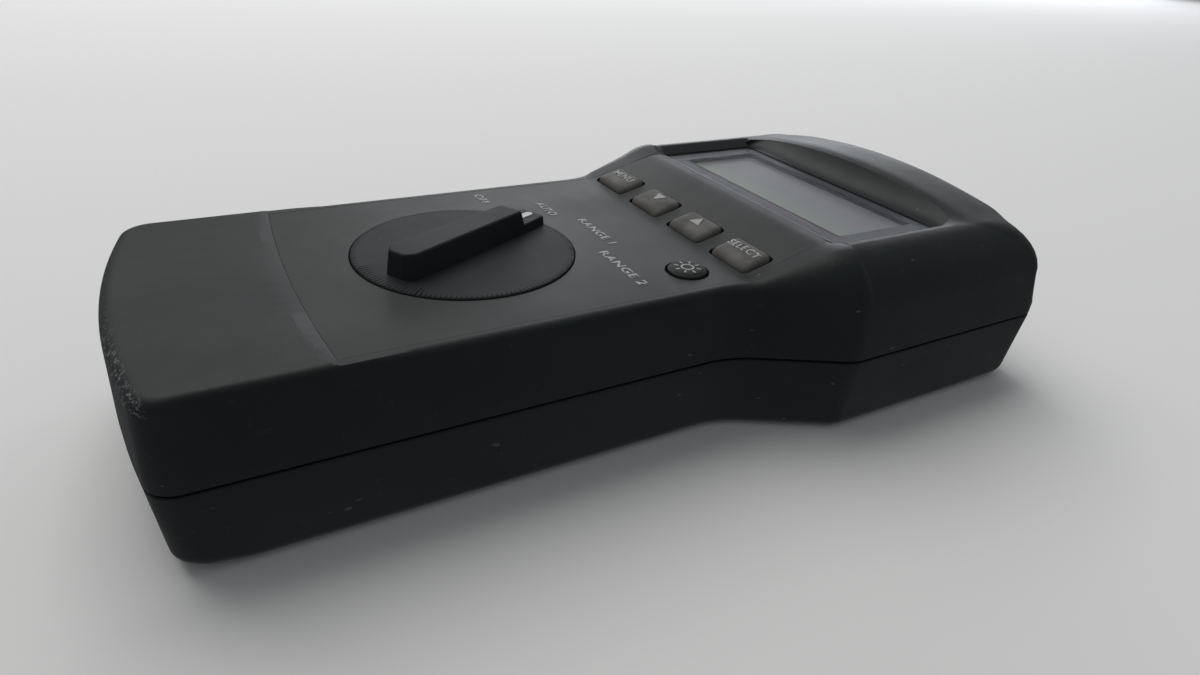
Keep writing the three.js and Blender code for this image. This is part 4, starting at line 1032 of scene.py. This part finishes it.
# ---------------------------------------------------------------- the coaxial jack
def make_coax(material):
    wall, out = COAX_WALL, COAX_WALL + COAX_REACH
    inner = wall - WALL - 1.2
    r, neck = COAX_BARREL, COAX_NECK
    profile = [(3, inner - 9), (3, inner - 5), (neck + 1.6, inner - 5), (neck + 1.6, inner - 3)]
    profile += [(neck - 0.2, inner - 3), (neck - 0.2, wall + 3.2), (neck - 0.5, wall + 3.5)]
    profile += [(r, wall + 3.6), (r, out - 0.25), (r - 0.2, out), (r - 0.6, out)]
    profile += [(r - 0.8, out - 0.2), (r - 0.8, wall + 1)]
    barrel = turned_y(COAX.x, COAX.z, profile, 96)
    lugs = []
    for side in (-1, 1):
        rings = []
        for reach, radius in [(0, 1), (1.15, 1), (1.3, 0.85)]:
            x = np.full(24, COAX.x + side * (r - 0.3 + reach))
            rings.append(np.column_stack([x, circle(out - 3.4, COAX.z, radius, 24)]))
        lugs.append(stack(rings))
    combine(barrel, lugs, "UNION")
    finish_piece(barrel, "coax_shell", "case", ["coax_body"], material)

    flats, bore = neck + 1.1, neck + 0.05
    corners = [(0.5, wall + 0.8), (0, wall + 1.05), (0, wall + 2.75), (0.5, wall + 3)]
    profile = [((flats - inset) / math.cos(math.pi / 6), y) for inset, y in corners]
    nut = turned_y(COAX.x, COAX.z, profile, 6)
    combine(nut, [coax_cylinder(bore, wall, wall + 4)])
    washer = coax_cylinder(neck + 2, wall + 0.15, wall + 0.7)
    combine(washer, [coax_cylinder(bore, wall - 1, wall + 2)])
    bevel(nut, 0.2, 2)
    finish_piece(nut, "coax_ring_nut", "case", ["coax_nut"], material)
    finish_piece(washer, "coax_washer", "case", [], material)


# ---------------------------------------------------------------- materials
def paint(name, colour, roughness, metallic=0.0, specular=0.5):
    """A material with one Principled shader, and its node tree."""
    made = bpy.data.materials.new(name)
    made.use_nodes = True
    shader = made.node_tree.nodes["Principled BSDF"]
    shader.inputs["Base Color"].default_value = (*colour, 1)
    shader.inputs["Roughness"].default_value = roughness
    shader.inputs["Metallic"].default_value = metallic
    shader.inputs["Specular IOR Level"].default_value = specular
    return made, made.node_tree, shader


def wire(tree, source, target):
    tree.links.new(source, target)


def feed(tree, value, socket):
    """Gives a socket a number, a colour or another node's output."""
    if isinstance(value, (int, float)):
        socket.default_value = value
    elif isinstance(value, tuple):
        socket.default_value = (*value, 1)
    else:
        wire(tree, value, socket)


def place_of(tree):
    """Object coordinates, in metres."""
    return tree.nodes.new("ShaderNodeTexCoord").outputs["Object"]


def noise(tree, scale, detail=3.0, rough=0.55, stretch=None):
    node = tree.nodes.new("ShaderNodeTexNoise")
    node.inputs["Scale"].default_value = scale
    node.inputs["Detail"].default_value = detail
    node.inputs["Roughness"].default_value = rough
    source = place_of(tree)
    if stretch:
        mapping = tree.nodes.new("ShaderNodeMapping")
        mapping.inputs["Scale"].default_value = stretch
        wire(tree, source, mapping.inputs["Vector"])
        source = mapping.outputs["Vector"]
    wire(tree, source, node.inputs["Vector"])
    return node.outputs["Fac"]


def remap(tree, value, low, high, out_low, out_high):
    node = tree.nodes.new("ShaderNodeMapRange")
    node.interpolation_type = "SMOOTHSTEP"
    node.inputs["From Min"].default_value = low
    node.inputs["From Max"].default_value = high
    node.inputs["To Min"].default_value = out_low
    node.inputs["To Max"].default_value = out_high
    wire(tree, value, node.inputs["Value"])
    return node.outputs["Result"]


def maths(tree, operation, a, b):
    node = tree.nodes.new("ShaderNodeMath")
    node.operation = operation
    feed(tree, a, node.inputs[0])
    feed(tree, b, node.inputs[1])
    return node.outputs["Value"]


def mix(tree, factor, a, b, blend="MIX"):
    """Blends two colours, each a tuple or a socket."""
    node = tree.nodes.new("ShaderNodeMix")
    node.data_type = "RGBA"
    node.blend_type = blend
    feed(tree, factor, node.inputs["Factor"])
    colours = [socket for socket in node.inputs if socket.type == "RGBA"]
    feed(tree, a, colours[0])
    feed(tree, b, colours[1])
    return [socket for socket in node.outputs if socket.type == "RGBA"][0]


def bump(tree, shader, height, distance, strength=1.0):
    node = tree.nodes.new("ShaderNodeBump")
    node.inputs["Distance"].default_value = distance
    node.inputs["Strength"].default_value = strength
    wire(tree, height, node.inputs["Height"])
    wire(tree, node.outputs["Normal"], shader.inputs["Normal"])


def roughen(tree, shader, pattern, low, high, least, most):
    """Varies the roughness between two values where a pattern lies between low and high."""
    wire(tree, remap(tree, pattern, low, high, least, most), shader.inputs["Roughness"])


def axis_of(tree, axis):
    node = tree.nodes.new("ShaderNodeSeparateXYZ")
    wire(tree, place_of(tree), node.inputs["Vector"])
    return node.outputs[axis]


def tinted(colour, share):
    return tuple(min(1, c * share) for c in colour)


def moulded(name, colour, roughness, specular, grain, tone, worn=False):
    """Moulded plastic: a fine eroded grain, faint handling smears and rubbed spots."""
    made, tree, shader = paint(name, colour, roughness, 0, specular)
    blotches = remap(tree, noise(tree, 38, 4, 0.6), 0.3, 0.7, 0, 1)
    base = mix(tree, blotches, tinted(colour, 1 - tone), tinted(colour, 1 + tone))
    specks = remap(tree, noise(tree, 420, 3, 0.6), 0.62, 0.78, 0, 0.35)
    base = mix(tree, specks, base, tuple(c * 2.2 + 0.01 for c in colour))
    if worn:
        base = wear(tree, base)
    wire(tree, base, shader.inputs["Base Color"])
    smears = noise(tree, 24, 5, 0.65, (1, 0.5, 1))
    roughen(tree, shader, smears, 0.3, 0.72, roughness - 0.07, roughness + 0.07)
    bump(tree, shader, noise(tree, 2600, 2, 0.7), 0.00004 * grain, 0.6)
    return made


def wear(tree, base):
    """A pale rub along the butt's upper edge, heavier at the +X corner, and a few small nicks."""
    x, y, z = (axis_of(tree, axis) for axis in "XYZ")
    bowed = maths(tree, "MULTIPLY", maths(tree, "MULTIPLY", x, x), -0.5 / (BUTT_BOW * MM))
    inward = maths(tree, "ADD", y, bowed)
    near_butt = remap(tree, inward, (BUTT_Y + 2.9) * MM, (BUTT_Y + 1.7) * MM, 0, 1)
    band = remap(tree, z, (FACE_Z - 3.2) * MM, (FACE_Z - 1.4) * MM, 0, 1)
    corner = remap(tree, x, -4 * MM, 22 * MM, 0.12, 1)
    place = maths(tree, "MULTIPLY", near_butt, maths(tree, "MULTIPLY", band, corner))
    grit = remap(tree, noise(tree, 1700, 3, 0.75), 0.5, 0.64, 0, 1)
    nicks = remap(tree, noise(tree, 620, 1, 0.5, (1, 0.45, 1)), 0.77, 0.8, 0, 0.35)
    rubbed = maths(tree, "MULTIPLY", place, grit)
    return mix(tree, maths(tree, "MAXIMUM", rubbed, nicks), base, (0.19, 0.2, 0.2))


def mottled(name, colour, roughness, specular, blotches, seen, tones, smears, gloss, grain, deep):
    """A surface with blotches of two tones, smears in its gloss and a fine grain. Each of the
    three patterns is a noise's settings."""
    made, tree, shader = paint(name, colour, roughness, 0, specular)
    share = remap(tree, noise(tree, *blotches), *seen, 0, 1)
    base = mix(tree, share, *(tinted(colour, tone) for tone in tones))
    wire(tree, base, shader.inputs["Base Color"])
    roughen(tree, shader, noise(tree, *smears), 0.3, 0.7, *gloss)
    bump(tree, shader, noise(tree, *grain), deep, 0.5)
    return made


def printed_film(name, colour):
    blotches, seen, tones = (30, 4, 0.6), (0.3, 0.72), (0.86, 1.14)
    smears, gloss, grain, deep = (26, 5, 0.6), (0.42, 0.56), (3400, 2, 0.6), 0.00002
    return mottled(name, colour, 0.5, 0.2, blotches, seen, tones, smears, gloss, grain, deep)


def rubber(name, colour):
    blotches, seen, tones = (260, 4, 0.6), (0.35, 0.7), (0.8, 1.2)
    smears, gloss, grain, deep = (120, 3), (0.6, 0.78), (2200, 3, 0.7), 0.00004
    return mottled(name, colour, 0.7, 0.3, blotches, seen, tones, smears, gloss, grain, deep)


def plain_plastic(name, colour, rough=0.5, specular=0.5):
    blotches, seen, tones = (240, 3), (0.35, 0.7), (0.86, 1.1)
    smears, gloss, grain, deep = (90, 3), (rough - 0.08, rough + 0.08), (2400, 2), 0.00002
    return mottled(
        name, colour, rough, specular, blotches, seen, tones, smears, gloss, grain, deep
    )


def plated(name, colour, roughness):
    """Plated or drawn metal with faint lines and dull spots."""
    made, tree, shader = paint(name, colour, roughness, 1.0)
    spots = remap(tree, noise(tree, 500, 4, 0.6), 0.4, 0.75, 0, 1)
    wire(tree, mix(tree, spots, colour, tinted(colour, 0.72)), shader.inputs["Base Color"])
    lines = noise(tree, 900, 2, 0.5, (1, 0.06, 1))
    roughen(tree, shader, lines, 0.3, 0.7, roughness * 0.75, roughness * 1.4)
    bump(tree, shader, lines, 0.000015, 0.4)
    return made


def circuit_board(name):
    """Green solder mask with tracks that show through it as slightly raised lines."""
    made, tree, shader = paint(name, (0.01, 0.09, 0.03), 0.35)
    wave = tree.nodes.new("ShaderNodeTexWave")
    wave.wave_type = "BANDS"
    wave.bands_direction = "X"
    wave.inputs["Scale"].default_value = 130
    wave.inputs["Distortion"].default_value = 1.5
    wire(tree, place_of(tree), wave.inputs["Vector"])
    tracks = remap(tree, wave.outputs["Fac"], 0.6, 0.7, 0, 1)
    area = remap(tree, noise(tree, 60, 1), 0.48, 0.52, 0, 1)
    shown = maths(tree, "MULTIPLY", tracks, area)
    base = mix(tree, shown, (0.006, 0.06, 0.02), (0.03, 0.16, 0.05))
    wire(tree, base, shader.inputs["Base Color"])
    bump(tree, shader, shown, 0.00004, 0.6)
    return made


def lens_material(name):
    """A clear hard-coated lens, with faint smears and wipe marks. Its faint grey-blue base colour, shown at low
    alpha, is a painted veil of reflected sky.
    """
    made, tree, shader = paint(name, (0.15, 0.157, 0.165), 0.12, 0, 0.3)
    shader.inputs["Alpha"].default_value = 0.09
    smears = noise(tree, 40, 5, 0.65, (1, 0.35, 1))
    roughen(tree, shader, smears, 0.35, 0.72, 0.14, 0.24)
    return made


def lcd_material(name, near_tint, far_tint_and_reflection):
    """The display cell: greenish grey, turning lavender towards the far side with a painted reflection of the
    bluish sky, with its faint character cells.
    """
    made, tree, shader = paint(name, (0.2, 0.22, 0.2), 0.45, 0, 0.06)
    brick = tree.nodes.new("ShaderNodeTexBrick")
    brick.offset = 0
    brick.inputs["Scale"].default_value = 1.0
    brick.inputs["Brick Width"].default_value = 3.55 * MM
    brick.inputs["Row Height"].default_value = 7.4 * MM
    brick.inputs["Mortar Size"].default_value = 0.3 * MM
    brick.inputs["Color1"].default_value = (0.93, 0.93, 0.93, 1)
    brick.inputs["Color2"].default_value = (0.95, 0.95, 0.95, 1)
    brick.inputs["Mortar"].default_value = (1, 1, 1, 1)
    wire(tree, place_of(tree), brick.inputs["Vector"])
    # Towards the far side the tint turns lavender: a painted reflection of the bluish sky.
    near, far = (WINDOW_Y - 6) * MM, (WINDOW_Y + 2) * MM
    share = remap(tree, axis_of(tree, "Y"), near, far, 0, 1)
    tint = mix(tree, share, near_tint, far_tint_and_reflection)
    cells = mix(tree, 1, tint, brick.outputs["Color"], "MULTIPLY")
    wire(tree, cells, shader.inputs["Base Color"])
    roughen(tree, shader, noise(tree, 50, 3), 0.3, 0.7, 0.42, 0.5)
    return made


def white_print(name, colour=(0.34, 0.355, 0.35)):
    """Screen-printed white ink, a little worn."""
    made, tree, shader = paint(name, colour, 0.55)
    worn = remap(tree, noise(tree, 900, 4, 0.7), 0.5, 0.72, 0, 0.55)
    wire(tree, mix(tree, worn, colour, tinted(colour, 0.5)), shader.inputs["Base Color"])
    bump(tree, shader, noise(tree, 3000, 2), 0.00001, 0.4)
    return made


# ---------------------------------------------------------------- build
CASE = moulded("case_plastic", (0.0155, 0.0195, 0.0205), 0.5, 0.25, 1.0, 0.14, True)
KNOB = moulded("knob_plastic", (0.024, 0.027, 0.029), 0.6, 0.12, 0.6, 0.12)
FILM = printed_film("face_film", (0.029, 0.0305, 0.031))
KEY_RUBBER = rubber("key_rubber", (0.12, 0.117, 0.11))
DARK_RUBBER = rubber("dark_rubber", (0.02, 0.021, 0.021))
INK = white_print("print_ink")
MARK_INK = white_print("mark_ink", (0.62, 0.63, 0.62))
WHITE = plain_plastic("white_plastic", (0.62, 0.62, 0.58), 0.45)
BLACK = plain_plastic("black_plastic", (0.012, 0.012, 0.013), 0.45)
# The border's grey-blue is partly its ink and partly a painted reflection; the display's bezel shares it.
BORDER_AND_REFLECTION = plain_plastic("window_border", (0.075, 0.08, 0.094), 0.6, 0.05)
# A dark line of painted shade at the window's near inner edge.
PAINTED_SHADE_LINE = plain_plastic("window_shade_line", (0.02, 0.021, 0.023), 0.6, 0.05)
NICKEL = plated("nickel", (0.58, 0.56, 0.52), 0.24)
STEEL = plated("steel", (0.42, 0.43, 0.44), 0.34)
BRASS = plated("contact_brass", (0.72, 0.53, 0.2), 0.25)
BOARD = circuit_board("board_laminate")
# The lens's faint grey-blue veil is a painted reflection of the sky.
LENS = lens_material("window_lens")
# The far tint's lavender is a painted sky reflection over the cell's greenish grey.
LCD = lcd_material("lcd_cell", (0.2, 0.243, 0.215), (0.195, 0.197, 0.228))
JACKET = plain_plastic("cell_jacket", (0.03, 0.07, 0.14), 0.3)


def dress_cad_nodes():
    """Finishes for the CAD nodes that stay as they are."""
    by_slot = {
        "white_plastic": WHITE,
        "black_plastic": BLACK,
        "board_laminate": BOARD,
        "steel": STEEL,
        "nickel": NICKEL,
        "contact_brass": BRASS,
        "cell_jacket": JACKET,
        "dark_rubber": DARK_RUBBER,
        "lcd_cell": LCD,
    }
    slots = {row["node"]: row["material_slot"] for row in frame["record"]["subparts"]}
    for name, node in frame["nodes"].items():
        if node.hide_render:
            continue
        node.data.materials.clear()
        node.data.materials.append(BORDER_AND_REFLECTION if name == "lcd_bezel" else by_slot[slots[name]])
        bevel(node, 0.12, 2, 40)
        node.data.shade_smooth()
        node.data.set_sharp_from_angle(angle=math.radians(32))


def direction(azimuth, elevation):
    """A unit vector, from degrees. Azimuth 0 is +Y, and it grows towards -X."""
    azimuth, elevation = math.radians(azimuth), math.radians(elevation)
    level = Vector((-math.sin(azimuth), math.cos(azimuth), 0)) * math.cos(elevation)
    return level + Vector((0, 0, math.sin(elevation)))


def make_camera():
    """The view: its place in metres, its angles in degrees, and its lens in millimetres."""
    place = (0.13572, -0.08572, 0.09545)
    azimuth, elevation, roll = 58.945, -29.647, math.radians(4.27)
    forward, level = direction(azimuth, elevation), direction(azimuth - 90, 0)
    upright = level.cross(forward)
    right = level * math.cos(roll) + upright * math.sin(roll)
    up = upright * math.cos(roll) - level * math.sin(roll)
    data = bpy.data.cameras.new("camera")
    data.sensor_width = 36
    data.lens = 22.863
    data.clip_start = 0.01
    camera = bpy.data.objects.new("camera", data)
    bpy.context.scene.collection.objects.link(camera)
    turn = Matrix((right, up, -forward)).transposed().to_4x4()
    camera.matrix_world = Matrix.Translation(place) @ turn
    bpy.context.scene.camera = camera


def aimed_light(name, azimuth, elevation, distance, size, power, colour):
    """A rectangular soft light that faces the object."""
    toward = direction(azimuth, elevation)
    data = bpy.data.lights.new(name, "AREA")
    data.shape = "RECTANGLE"
    data.size, data.size_y = size
    data.energy = power
    data.color = colour
    light = bpy.data.objects.new(name, data)
    light.location = toward * distance
    light.rotation_euler = (-toward).to_track_quat("-Z", "Y").to_euler()
    bpy.context.scene.collection.objects.link(light)


def make_stage():
    """A pale floor and soft studio lights."""
    mesh = bpy.data.meshes.new("floor")
    half = 4.0
    corners = [(-half, -half, 0), (half, -half, 0), (half, half, 0), (-half, half, 0)]
    mesh.from_pydata(corners, [], [(0, 1, 2, 3)])
    floor = bpy.data.objects.new("floor", mesh)
    floor.location.z = -0.0002
    floor.visible_glossy = False
    floor.visible_diffuse = False
    bpy.context.scene.collection.objects.link(floor)
    made, _, _ = paint("floor_paper", (0.9, 0.9, 0.9), 0.9, 0, 0.0)
    mesh.materials.append(made)

    world = bpy.data.worlds.new("studio")
    world.use_nodes = True
    sky = world.node_tree.nodes["Background"]
    sky.inputs["Color"].default_value = (0.96, 0.98, 1.0, 1)
    sky.inputs["Strength"].default_value = 0.22
    bpy.context.scene.world = world
    aimed_light("window_light", 52, 12, 1.7, (1.7, 0.7), 10, (0.93, 0.96, 1.0))
    aimed_light("high_light", 100, 58, 1.8, (1.6, 1.6), 19, (1.0, 0.99, 0.97))
    bpy.context.scene.view_settings.view_transform = "Standard"


make_camera()
make_top_case(CASE)
make_bottom_case(CASE)
make_door(CASE)
make_overlay(FILM)
make_window(LENS, BORDER_AND_REFLECTION, PAINTED_SHADE_LINE, LCD)
make_knob(KNOB, MARK_INK)
for key_name, key_x in key_places():
    make_key(key_name, key_x, KEY_RUBBER)
make_light_key(DARK_RUBBER)
make_prints(INK)
make_coax(NICKEL)
dress_cad_nodes()
make_stage()
